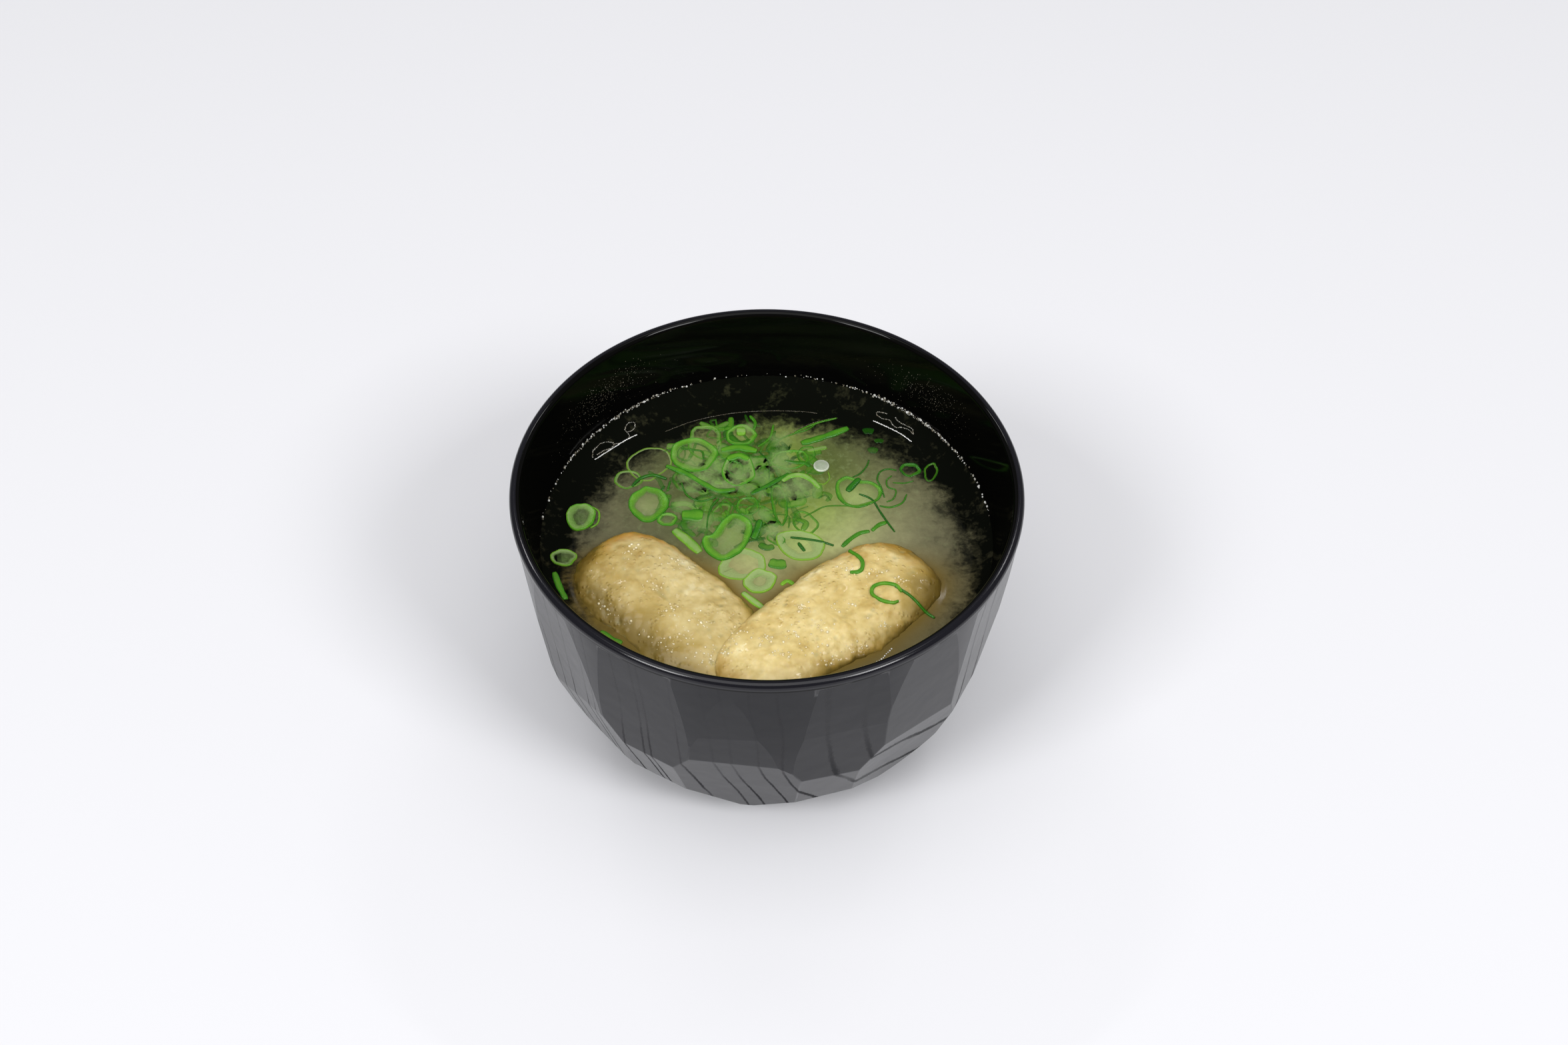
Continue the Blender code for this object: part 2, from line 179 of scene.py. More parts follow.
def lacquerOnWood():
    material, tree, shader = newMaterial("lacquerOnWood")
    place = placeInMm(tree)
    across = addNode(
        tree, "ShaderNodeVectorMath", {0: place, 1: grain["sheetNormal"]}, operation="DOT_PRODUCT"
    ).outputs["Value"]
    drift = noiseNode(tree, place, 0.022, 1.0)
    ripple = noiseNode(tree, place, 0.16, 2.0)
    across = mathNode(tree, "ADD", across, mathNode(tree, "MULTIPLY", drift, 6.0))
    across = mathNode(tree, "ADD", across, mathNode(tree, "MULTIPLY", ripple, 0.45))
    rings = addNode(
        tree,
        "ShaderNodeTexVoronoi",
        {"W": across, "Scale": 1 / grain["ringSpacing"], "Randomness": 0.85},
        voronoi_dimensions="1D",
        feature="F1",
    ).outputs["Distance"]
    pores = noiseNode(tree, place, 1.6, 3.0, 0.7)
    edge = mathNode(tree, "ADD", rings, mathNode(tree, "MULTIPLY", mathNode(tree, "SUBTRACT", pores, 0.5), 0.12))
    line = greyRamp(tree, edge, grain["lineWidth"] * 0.35, grain["lineWidth"], darkFirst=False)
    cloudy = noiseNode(tree, place, 0.05, 2.0)
    fade = greyRamp(tree, cloudy, 0.36, 0.56)
    line = mathNode(tree, "MULTIPLY", line, mathNode(tree, "ADD", mathNode(tree, "MULTIPLY", fade, 0.6), 0.4))
    height = addNode(tree, "ShaderNodeSeparateXYZ", {0: place}).outputs["Z"]
    low = greyRamp(tree, mathNode(tree, "MULTIPLY", height, 1 / bowl["rim"]), 0.30, 0.75, darkFirst=False)
    line = mathNode(tree, "MULTIPLY", line, mathNode(tree, "ADD", mathNode(tree, "MULTIPLY", low, 0.8), 0.2))
    shader.inputs["Base Color"].default_value = (*grain["colour"], 1)
    shader.inputs["Specular IOR Level"].default_value = 0.235
    tree.links.new(mixColour(tree, line, (1, 1, 1), (0.1, 0.1, 0.1)), shader.inputs["Specular Tint"])
    satin = mathNode(tree, "ADD", 0.15, mathNode(tree, "MULTIPLY", noiseNode(tree, place, 0.35, 4.0, 0.6), 0.08))
    tree.links.new(mathNode(tree, "ADD", satin, mathNode(tree, "MULTIPLY", line, 0.45)), shader.inputs["Roughness"])
    orangePeel = noiseNode(tree, place, 0.11, 2.0)
    height = mathNode(tree, "SUBTRACT", mathNode(tree, "MULTIPLY", orangePeel, 0.9), mathNode(tree, "MULTIPLY", line, 0.06))
    tree.links.new(bumpNode(tree, height, 0.12 * mm), shader.inputs["Normal"])
    return material


def polishedLacquer(name, finish):
    material, tree, shader = newMaterial(name)
    shader.inputs["Base Color"].default_value = (*finish["colour"], 1)
    shader.inputs["Specular IOR Level"].default_value = finish["shine"]
    haze = greyRamp(tree, noiseNode(tree, placeInMm(tree), 0.05, 3.0), 0.45, 0.7)
    rough = mathNode(tree, "ADD", finish["rough"], mathNode(tree, "MULTIPLY", haze, 0.05))
    tree.links.new(rough, shader.inputs["Roughness"])
    return material


finishes = {
    "mirrorLacquer": {"colour": (0.0016, 0.0016, 0.0014), "shine": 0.13, "rough": 0.05},
    # the lip's lighter, bluish base colour is a painted sheen along its outer top
    "lipPaintedSheen": {"colour": (0.0060, 0.0058, 0.0090), "shine": 0.38, "rough": 0.12},
}

# ---------- bowl

bowl = {
    "round": 256,
    "lipRadius": 1.25,
    "skirt": 0.9,
    "carvedTop": 1.3,
    "wallDepth": 60.0,
    "lean": 4.05,
    "belly": 7.05,
    "bellyPower": 5.2,
    "bodyDepth": 66.0,
    "hollowDepth": 50.0,
    "floorDepth": 61.5,
    "floorFlat": 20.0,
    "softness": 0.55,  # width of the rounding along each carved edge
}
bowl["rimRadius"] = (bowlHigh.x - bowlLow.x) / 2 / mm
bowl["rim"] = bowlHigh.z / mm - bowl["lipRadius"]  # height of the lip's centre

# cuts: azimuth from the front, lean from upright, reach from the axis
carving = {
    "sideLevel": 25.0,
    "lowerLevel": 55.0,
    "bottomLevel": 62.0,
    "side": (
        (-80.0, 5.5, 54.0),
        (-54.0, 6.2, 54.5),
        (-29.0, 5.2, 54.6),
        (-7.7, 7.9, 55.1),
        (18.4, 6.7, 54.7),
        (38.3, 5.8, 54.7),
        (63.8, 5.0, 54.0),
        (88.2, 6.0, 54.7),
        (-8.1, 5.3, 55.3),
        (18.6, 5.1, 54.8),
    ),
    "lower": (
        (-80.3, 18.1, 47.8),
        (-48.9, 15.8, 47.9),
        (-29.7, 18.6, 48.0),
        (-7.3, 17.7, 46.8),
        (16.5, 18.4, 48.1),
        (37.4, 16.6, 47.4),
        (62.3, 17.2, 48.9),
        (88.4, 17.6, 46.0),
    ),
    "bottomReach": (44.0, 43.1, 41.9, 47.2, 42.5, 47.3, 44.0, 44.0),
    "bottomLean": 42.0,
    "columns": 15,
    "shownColumns": 8,
    "hiddenStart": 88.2,
    "hiddenCuts": ((5.8, 54.5, 25.0), (17.4, 47.6, 55.0), (42.0, 44.0, 62.0)),
    "seed": 15,
}


def wallRadius(depth):
    t = depth / bowl["wallDepth"]
    return bowl["rimRadius"] - bowl["lean"] * t - bowl["belly"] * t ** bowl["bellyPower"]


def hollowRadius(depth):
    t = depth / bowl["hollowDepth"]
    return bowl["rimRadius"] - 2 * bowl["lipRadius"] - 8.0 * t - 8.0 * t**3


def allCuts():
    cuts = [(*cut, carving["sideLevel"]) for cut in carving["side"]]
    for cut, reach in zip(carving["lower"], carving["bottomReach"]):
        cuts.append((*cut, carving["lowerLevel"]))
        cuts.append((cut[0], carving["bottomLean"], reach, carving["bottomLevel"]))
    hand = random.Random(carving["seed"])
    for i in range(1, carving["columns"] - carving["shownColumns"] + 1):
        azimuth = carving["hiddenStart"] + i * 360 / carving["columns"]
        for lean, reach, level in carving["hiddenCuts"]:
            turned = azimuth + hand.uniform(-1.6, 1.6)
            leant = lean + hand.uniform(-0.7, 0.7)
            cuts.append((turned, leant, reach + hand.uniform(-0.4, 0.4), level))
    return cuts


def sliceOff(bm, layer, number, point, normal):
    result = bmesh.ops.bisect_plane(
        bm,
        geom=bm.verts[:] + bm.edges[:] + bm.faces[:],
        dist=0.00001,
        plane_co=point,
        plane_no=normal,
        clear_outer=True,
    )
    edges = [e for e in result["geom_cut"] if isinstance(e, bmesh.types.BMEdge)]
    if edges:
        for face in bmesh.ops.edgeloop_fill(bm, edges=edges)["faces"]:
            face[layer] = number


def carveBody(bm, layer):
    steps = 26
    span = bowl["bodyDepth"] - bowl["carvedTop"]
    depths = [bowl["carvedTop"] + span * i / steps for i in range(steps + 1)]
    rings = [ringOfPoints(bm, wallRadius(d), bowl["rim"] - d, bowl["round"]) for d in reversed(depths)]
    skin(bm, rings)
    bm.faces.new(list(reversed(rings[0])))
    bm.faces.new(rings[-1])
    for number, (azimuth, lean, reach, level) in enumerate(allCuts(), 1):
        turn, tilt = math.radians(azimuth), math.radians(lean)
        outward = Vector((math.sin(turn), -math.cos(turn), 0))
        normal = outward * math.cos(tilt) - Vector((0, 0, math.sin(tilt)))
        sliceOff(bm, layer, number, outward * reach + Vector((0, 0, bowl["rim"] - level)), normal)
    bmesh.ops.remove_doubles(bm, verts=bm.verts[:], dist=0.01)
    # a narrow bevel along every edge where two cuts meet, as a worn and lacquered edge has
    chamfers = {}
    for edge in bm.edges:
        if len(edge.link_faces) != 2:
            continue
        one, other = edge.link_faces
        pair = tuple(sorted((one[layer], other[layer])))
        if pair[0] < 1 or pair[0] == pair[1]:
            continue
        bend = one.normal.angle(other.normal)
        if bend < math.radians(1.0) or edge.calc_length() < chamfers.get(pair, (0.6,))[0]:
            continue
        normal = (one.normal + other.normal).normalized()
        middle = (edge.verts[0].co + edge.verts[1].co) / 2
        chamfers[pair] = (edge.calc_length(), middle - normal * bowl["softness"] / 2 * math.tan(bend / 2), normal)
    for number, (_, point, normal) in enumerate(chamfers.values(), 500):
        sliceOff(bm, layer, number, point, normal)
    bmesh.ops.remove_doubles(bm, verts=bm.verts[:], dist=0.01)
    ends = []
    for depth in (bowl["carvedTop"], bowl["bodyDepth"]):
        lids = [f for f in bm.faces if all(abs(v.co.z - bowl["rim"] + depth) < 0.005 for v in f.verts)]
        loop = {v for f in lids for v in f.verts}
        bmesh.ops.delete(bm, geom=lids, context="FACES_ONLY")
        ends.append([v for v in loop if v.is_valid])
    return ends


def turnOf(vertex):
    return math.atan2(vertex.co.y, vertex.co.x) % fullTurn


def zipLoops(bm, first, second):
    first, second = sorted(first, key=turnOf), sorted(second, key=turnOf)
    i = j = 0
    while i < len(first) or j < len(second):
        nextI = turnOf(first[(i + 1) % len(first)]) + fullTurn * ((i + 1) // len(first))
        nextJ = turnOf(second[(j + 1) % len(second)]) + fullTurn * ((j + 1) // len(second))
        a, b = first[i % len(first)], second[j % len(second)]
        if j >= len(second) or (i < len(first) and nextI <= nextJ):
            bm.faces.new((a, first[(i + 1) % len(first)], b))
            i += 1
        else:
            bm.faces.new((a, second[(j + 1) % len(second)], b))
            j += 1


def hollowProfile(fromDepth, steps):
    last = bowl["hollowDepth"]
    depths = [fromDepth + (last - fromDepth) * i / steps for i in range(steps + 1)]
    points = [(hollowRadius(d), bowl["rim"] - d) for d in depths]
    start = Vector((points[-1][0], last))
    end = Vector((bowl["floorFlat"], bowl["floorDepth"]))
    slope = (8.0 + 3 * 8.0) / bowl["hollowDepth"]
    corner = Vector((start.x - slope * (end.y - start.y), end.y))
    for i in range(1, 11):
        t = i / 10
        point = start * (1 - t) ** 2 + corner * 2 * t * (1 - t) + end * t**2
        points.append((point.x, bowl["rim"] - point.y))
    return points


def makeBowl():
    bm = bmesh.new()
    layer = bm.faces.layers.int.new("cut")
    topLoop, bottomLoop = carveBody(bm, layer)
    rim, lip, centre = bowl["rim"], bowl["lipRadius"], bowl["rimRadius"] - bowl["lipRadius"]
    profile = [(wallRadius(bowl["skirt"]), rim - bowl["skirt"]), (wallRadius(0.45), rim - 0.45)]
    for i in range(15):
        angle = math.pi * i / 14
        profile.append((centre + lip * math.cos(angle), rim + lip * math.sin(angle)))
    profile += hollowProfile(1.5, 26)
    upper = [ringOfPoints(bm, r, z, bowl["round"]) for r, z in profile]
    zipLoops(bm, topLoop, upper[0])
    for face in skin(bm, upper, 1):
        face[layer] = -1
        middle = face.calc_center_median()
        # index 2, the lip's outer top, takes the coat with the painted sheen
        face.material_index = 2 if middle.z > rim - 0.4 and middle.xy.length > centre - 0.3 else 1
    floor = bm.faces.new(upper[-1])
    floor.material_index = 1
    footProfile = [
        (31.4, 4.9),
        (30.5, 4.3),
        (29.6, 0.5),
        (29.0, 0.0),
        (26.5, 0.0),
        (25.9, 0.5),
        (25.0, 3.8),
        (23.8, 4.6),
    ]
    foot = [ringOfPoints(bm, r, z, 128) for r, z in footProfile]
    zipLoops(bm, bottomLoop, foot[0])
    skin(bm, foot)
    bm.faces.new(foot[-1])
    bmesh.ops.recalc_face_normals(bm, faces=bm.faces)
    for edge in bm.edges:
        one, other = edge.link_faces
        bend = edge.calc_face_angle(0)
        turned = min(one[layer], other[layer]) == 0 and max(one[layer], other[layer]) > 0
        edge.smooth = not (bend > math.radians(35) or (turned and bend > math.radians(1.5)))
    coats = [polishedLacquer(name, finish) for name, finish in finishes.items()]
    piece = newPiece("carvedBowl", bm, [lacquerOnWood(), *coats])
    weighted = piece.modifiers.new("flatFacets", "WEIGHTED_NORMAL")
    weighted.keep_sharp = True
    weighted.weight = 60
    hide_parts("bowl")
    return piece


makeBowl()
print("bowl carved")

# ---------- tofu

# dips are low sides of a slice: direction, where the drop starts and ends, and how deep it is
tofuSlices = {
    "friedTofuLeft": {
        "node": "fried_tofu_left",
        "place": (-20.8, -22.7),
        "turn": -45.4,
        "halfSize": (27.2, 14.5),
        "corner": 3.0,
        "taper": 0.0,
        "waist": -1.6,
        "up": 4.9,
        "down": 5.6,
        "tilt": (1.0, 1.5),
        "wobble": 0.25,
        "phase": 0.6,
        "dips": ((-90, 4.0, 14.5, 1.2), (0, 8.0, 24.0, 1.3)),
        "toasted": 165,
        # the zone toward +u (0, 13, 24) paints the shadow in the crease under the right slice; the other zones are
        # broth soaking into the crust
        "soakAndShadowZones": ((-90, -1.0, 11.0, 0.85), (-145, 15.0, 23.0, 0.95), (0, 13.0, 24.0, 0.6)),
        "shade": 0.80,
    },
    "friedTofuRight": {
        "node": "fried_tofu_right",
        "place": (13.2, -24.8),
        "turn": 39.5,
        "halfSize": (29.4, 12.9),
        "corner": 3.1,
        "taper": 0.10,
        "waist": -0.6,
        "up": 4.6,
        "down": 4.4,
        "tilt": (-0.5, 0.4),
        "wobble": 0.3,
        "phase": 2.1,
        "dips": ((-90, 4.0, 13.0, 1.1),),
        "toasted": 20,
        "soakAndShadowZones": ((-90, 8.0, 14.0, 0.6), (-50, 10.5, 22.0, 0.95), (0, 20.0, 29.0, 0.8)),
        "shade": 0.98,
    },
}
soup = {"meniscusRise": 2.7, "meniscusReach": 2.2, "round": 256}
soup["contact"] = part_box("soup")[1].z / mm
soup["level"] = soup["contact"] - soup["meniscusRise"]


def friedCrust():
    material, tree, shader = newMaterial("friedCrust")
    place = placeInMm(tree)
    tint = addNode(tree, "ShaderNodeAttribute", attribute_name="crustTone")
    parts = addNode(tree, "ShaderNodeSeparateColor", {0: tint.outputs["Color"]})
    toast, soakAndShade, pits = parts.outputs[0], parts.outputs[1], parts.outputs[2]
    broad = noiseNode(tree, place, 0.10, 3.0, 0.55)
    blotch = noiseNode(tree, place, 0.36, 2.0, 0.5)
    crumb = noiseNode(tree, place, 1.1, 2.0, 0.5)
    tone = mathNode(tree, "ADD", mathNode(tree, "MULTIPLY", broad, 0.56), mathNode(tree, "MULTIPLY", blotch, 0.36))
    tone = mathNode(tree, "ADD", tone, mathNode(tree, "MULTIPLY", crumb, 0.08))
    colour = rampNode(
        tree,
        tone,
        [(0.36, (0.53, 0.37, 0.11)), (0.45, (0.66, 0.505, 0.19)), (0.56, (0.78, 0.63, 0.285)), (0.66, (0.90, 0.79, 0.46))],
    )
    colour = mixColour(tree, 1.0, colour, tint.outputs["Alpha"], "MULTIPLY")
    colour = mixColour(tree, toast, colour, (0.52, 0.21, 0.020))
    # darkens to ochre-brown where broth soaks in, and as painted shadow where the right slice overlies the left
    soakShadeMix = rampNode(tree, soakAndShade, [(0.0, (0.0, 0.0, 0.0)), (0.5, (0.55, 0.55, 0.55)), (1.0, (1.0, 1.0, 1.0))])
    soakShadeTone = rampNode(tree, soakAndShade, [(0.3, (0.45, 0.30, 0.055)), (0.7, (0.31, 0.20, 0.020)), (1.0, (0.13, 0.085, 0.010))])
    colour = mixColour(tree, soakShadeMix, colour, soakShadeTone)
    colour = mixColour(tree, mathNode(tree, "MULTIPLY", pits, 0.5), colour, (0.36, 0.33, 0.15))
    tree.links.new(colour, shader.inputs["Base Color"])
    rough = mathNode(tree, "ADD", 0.30, mathNode(tree, "MULTIPLY", blotch, 0.25))
    tree.links.new(rough, shader.inputs["Roughness"])
    # fine round blisters standing in patches
    patch = greyRamp(tree, noiseNode(tree, place, 0.22, 2.0), 0.44, 0.60)
    cells = addNode(tree, "ShaderNodeTexVoronoi", {"Vector": place, "Scale": 1.05}, feature="F1").outputs
    dome = rampNode(
        tree,
        cells["Distance"],
        [(0.0, (1, 1, 1)), (0.14, (0.85, 0.85, 0.85)), (0.28, (0.4, 0.4, 0.4)), (0.42, (0.07, 0.07, 0.07)), (0.5, (0, 0, 0))],
    )
    pick = addNode(tree, "ShaderNodeSeparateColor", {0: cells["Color"]}).outputs[0]
    dome = mathNode(tree, "MULTIPLY", dome, mathNode(tree, "MULTIPLY", greyRamp(tree, pick, 0.35, 0.5), patch))
    height = mathNode(tree, "ADD", mathNode(tree, "MULTIPLY", crumb, 0.12), dome)
    tree.links.new(bumpNode(tree, height, 0.21 * mm), shader.inputs["Normal"])
    shader.inputs["Coat Weight"].default_value = 0.4
    shader.inputs["Coat Roughness"].default_value = 0.09
    shader.inputs["Specular IOR Level"].default_value = 0.35
    shader.inputs["Subsurface Weight"].default_value = 0.45
    shader.inputs["Subsurface Radius"].default_value = (1.0, 0.75, 0.4)
    shader.inputs["Subsurface Scale"].default_value = 1.8 * mm
    return material


def sliceReach(shape, angle):
    halfLength, halfWidth = shape["halfSize"]
    c, s = math.cos(angle), math.sin(angle)
    width = halfWidth * (1 + shape["taper"] * c)
    plain = (abs(c / halfLength) ** shape["corner"] + abs(s / width) ** shape["corner"]) ** (-1 / shape["corner"])
    lumps = math.sin(5 * angle + shape["phase"]) + 0.6 * math.sin(8 * angle + 2.3 * shape["phase"])
    return plain + shape["wobble"] * lumps


def blister(point, size, fill, height):
    near = noise.voronoi(point / size)[0][0]
    return height * max(0.0, 1 - (near / fill) ** 2) ** 2


def crustPits(point):
    patch = smoothStep(0.02, 0.35, noise.noise(point / 7.0 + Vector((4, 2, 8))))
    return blister(point + Vector((31, 17, 5)), 2.3, 0.42, 1.0) * patch


def crustRelief(point):
    broad = noise.noise(point / 8.0) * 0.55 + noise.noise(point / 3.5) * 0.16
    patch = smoothStep(-0.25, 0.3, noise.noise(point / 6.0 + Vector((7, 3, 1))))
    bubbles = blister(point, 2.6, 0.62, 0.26) + blister(point + Vector((9, 5, 3)), 1.5, 0.6, 0.16) * patch
    return broad + bubbles - 0.14 * crustPits(point) - 0.13


def makeTofu(name, shape, material):
    bm = bmesh.new()
    tone = bm.verts.layers.float_color.new("crustTone")
    around, topBands, bottomBands = 380, 96, 16
    across, along = shape["tilt"]
    place = (
        Matrix.Translation((*shape["place"], soup["level"] + shape["waist"]))
        @ Matrix.Rotation(math.radians(shape["turn"]), 4, "Z")
        @ Matrix.Rotation(math.radians(across), 4, "X")
        @ Matrix.Rotation(math.radians(along), 4, "Y")
    )

    def addPoint(u, v, height, angle, rise):
        for direction, start, end, drop in shape["dips"]:
            turn = math.radians(direction)
            height -= drop * smoothStep(start, end, u * math.cos(turn) + v * math.sin(turn)) if rise > 0 else 0
        normal = Vector((math.cos(angle) * math.cos(rise), math.sin(angle) * math.cos(rise), math.sin(rise)))
        placed = place @ Vector((u, v, height))
        shown = smoothStep(-0.6, -0.1, rise)
        vertex = bm.verts.new(placed + (place.to_3x3() @ normal) * crustRelief(placed) * shown)
        mottle = noise.noise(placed / 2.2) + 0.6 * noise.noise(placed / 0.8)
        edge = smoothStep(0.80, 1.0, math.hypot(u, v) / sliceReach(shape, angle) + 0.05 * mottle)
        facing = 0.30 + 0.70 * max(0, math.cos(angle - math.radians(shape["toasted"]))) ** 4
        above = placed.z - soup["level"] + 0.9 * noise.noise(placed / 5.0) + 0.35 * mottle
        soakAndShade = 1 - smoothStep(0.1, 3.1, above)
        # zones darken the crust: broth soaking in, and on the left slice the painted shadow under the right slice's
        # edge
        for direction, start, end, amount in shape["soakAndShadowZones"]:
            turn = math.radians(direction)
            outer = u * math.cos(turn) + v * math.sin(turn) + 3.0 * noise.noise(placed / 7.0 + Vector((2, 6, 1)))
            soakAndShade = max(soakAndShade, amount * smoothStep(start, end, outer))
        vertex[tone] = (min(1, edge * facing), soakAndShade, crustPits(placed), shape["shade"])
        return vertex

    rises = [-math.pi / 2 * (1 - i / bottomBands) for i in range(1, bottomBands)]
    rises += [math.pi / 2 * i / topBands for i in range(topBands)]
    rings = []
    for rise in rises:
        spread = math.cos(rise) ** 0.46
        face = shape["up"] if rise > 0 else shape["down"]
        height = face * math.copysign(abs(math.sin(rise)) ** 0.85, rise)
        ring = []
        for i in range(around):
            angle = fullTurn * i / around
            reach = sliceReach(shape, angle) * spread
            ring.append(addPoint(reach * math.cos(angle), reach * math.sin(angle), height, angle, rise))
        rings.append(ring)
    skin(bm, rings)
    top = addPoint(0, 0, shape["up"], 0, math.pi / 2)
    bottom = addPoint(0, 0, -shape["down"], 0, -math.pi / 2)
    for i in range(around):
        bm.faces.new((rings[-1][i], rings[-1][(i + 1) % around], top))
        bm.faces.new((rings[0][i], rings[0][(i + 1) % around], bottom))
    piece = newPiece(name, bm, [material])
    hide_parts(shape["node"])
    return BVHTree.FromPolygons(
        [v.co / mm for v in piece.data.vertices], [p.vertices[:] for p in piece.data.polygons]
    )


crust = friedCrust()
tofuTops = [makeTofu(name, shape, crust) for name, shape in tofuSlices.items()]
print("tofu slices made")

# ---------- soup

# where a ring holds pale cloud: x, y, reach
milkyRings = (
    (-28.0, 10.8, 3.6),
    (-17.5, 26.6, 4.4),
    (-15.2, 31.8, 4.0),
    (-6.5, 33.6, 3.0),
    (-9.2, 0.6, 4.4),
    (-5.2, -8.2, 4.6),
    (-1.4, -12.6, 2.6),
    (-4.0, -10.0, 8.0),
    (6.0, 35.0, 8.0),
    (7.6, -1.8, 4.6),
    (5.4, 25.6, 3.6),
    (21.8, 14.6, 4.0),
    (-7.0, 19.0, 2.6),
)
cloud = {
    "centre": (1.0, -8.0),
    "radius": 49.0,
    "brightAt": (13.5, 2.0),
    "brightReach": 16.0,
    "greenAt": (0.0, 19.0),
    "greenReach": 25.0,
    "pale": (0.45, 0.415, 0.235),
    # name, shine, roughness: clear broth by the wall mirrors black lacquer, so it shines least
    "depths": (("clearBroth", 0.0, 0.30), ("thinBroth", 0.09, 0.22), ("cloudyBroth", 0.20, 0.14)),
    "clear": (0.0035, 0.0040, 0.0028),
}


def misoBroth(name, shine, rough):
    material, tree, shader = newMaterial(name)
    place = placeInMm(tree)
    flat = addNode(tree, "ShaderNodeVectorMath", {0: place, 1: (1, 1, 0)}, operation="MULTIPLY").outputs[0]
    tint = addNode(tree, "ShaderNodeAttribute", attribute_name="soupTone")
    parts = addNode(tree, "ShaderNodeSeparateColor", {0: tint.outputs["Color"]})
    light, green, ochre = parts.outputs[0], parts.outputs[1], parts.outputs[2]
    inside = tint.outputs["Alpha"]
    puff = noiseNode(tree, flat, 0.17, 6.0, 0.62, 0.5)
    tuft = noiseNode(tree, flat, 0.75, 4.0, 0.62, 0.3)
    fluff = mathNode(tree, "MULTIPLY", mathNode(tree, "SUBTRACT", puff, 0.5), 1.5)
    fluff = mathNode(tree, "ADD", fluff, mathNode(tree, "MULTIPLY", mathNode(tree, "SUBTRACT", tuft, 0.5), 0.7))
    mask = rampNode(
        tree,
        mathNode(tree, "ADD", inside, fluff),
        [(0.10, (0, 0, 0)), (0.30, (0.16, 0.16, 0.16)), (0.62, (0.72, 0.72, 0.72)), (1.0, (1, 1, 1))],
    )
    texture = mathNode(tree, "ADD", mathNode(tree, "MULTIPLY", puff, 0.62), mathNode(tree, "MULTIPLY", tuft, 0.38))
    texture = mathNode(tree, "MULTIPLY", mathNode(tree, "ADD", texture, 0.35), 1.18)
    body = mixColour(tree, 1.0, cloud["pale"], mathNode(tree, "MULTIPLY", light, texture), "MULTIPLY")
    body = mixColour(tree, green, body, (0.56, 0.98, 0.15), "MULTIPLY")
    tufts = greyRamp(tree, noiseNode(tree, flat, 0.5, 5.0, 0.7, 0.4), 0.52, 0.70)
    tufts = mathNode(tree, "MULTIPLY", tufts, mathNode(tree, "ADD", mathNode(tree, "MULTIPLY", green, 0.34), 0.08))
    body = mixColour(tree, tufts, body, (0.30, 0.38, 0.17))
    body = mixColour(tree, ochre, body, (0.17, 0.115, 0.024))
    colour = mixColour(tree, mask, cloud["clear"], body)
    tree.links.new(colour, shader.inputs["Base Color"])
    shader.inputs["Specular IOR Level"].default_value = shine
    shader.inputs["Roughness"].default_value = rough
    return material


def outsideSlice(shape, x, y):
    # rough distance from a slice's outline at the soup's level, negative inside it
    dx, dy = x - shape["place"][0], y - shape["place"][1]
    turn = math.radians(shape["turn"])
    u, v = dx * math.cos(turn) + dy * math.sin(turn), dy * math.cos(turn) - dx * math.sin(turn)
    return math.hypot(u, v) - sliceReach(shape, math.atan2(v, u)) * 0.985


def soupHeight(x, y):
    r = math.hypot(x, y)
    angle = math.atan2(y, x)
    wall = hollowRadius(bowl["rim"] - soup["contact"])
    crawl = noise.noise(Vector((math.cos(angle) * 14, math.sin(angle) * 14, 0))) * 0.25
    crawl += noise.noise(Vector((math.cos(angle) * 60, math.sin(angle) * 60, 5))) * 0.22
    crawl *= smoothStep(0.35, 0.65, math.sin(angle))
    rise = (soup["meniscusRise"] - 0.3 + crawl) * math.exp(-max(0, wall - r) / soup["meniscusReach"])
    height = soup["level"] + rise
    for shape in tofuSlices.values():
        gap = outsideSlice(shape, x, y)
        height += 0.35 * math.exp(-max(0, gap) / 1.0) if gap < 6 else 0
    return height


def soupTone(x, y):
    light = 0.27 + 0.73 * math.exp(-((math.dist((x, y), cloud["brightAt"]) / cloud["brightReach"]) ** 2))
    green = math.exp(-((math.dist((x, y), cloud["greenAt"]) / cloud["greenReach"]) ** 2))
    light *= 1 - 0.35 * green
    for ringX, ringY, reach in milkyRings:
        light += 0.28 * math.exp(-((math.dist((x, y), (ringX, ringY)) / reach) ** 4))
    gap = min(outsideSlice(shape, x, y) for shape in tofuSlices.values())
    ochre = math.exp(-max(0, gap) / 4.5) * smoothStep(2, -12, y)
    inside = (cloud["radius"] - math.dist((x, y), cloud["centre"])) / 9.0
    return (light, green, min(1, ochre), max(0, min(1.2, inside)))


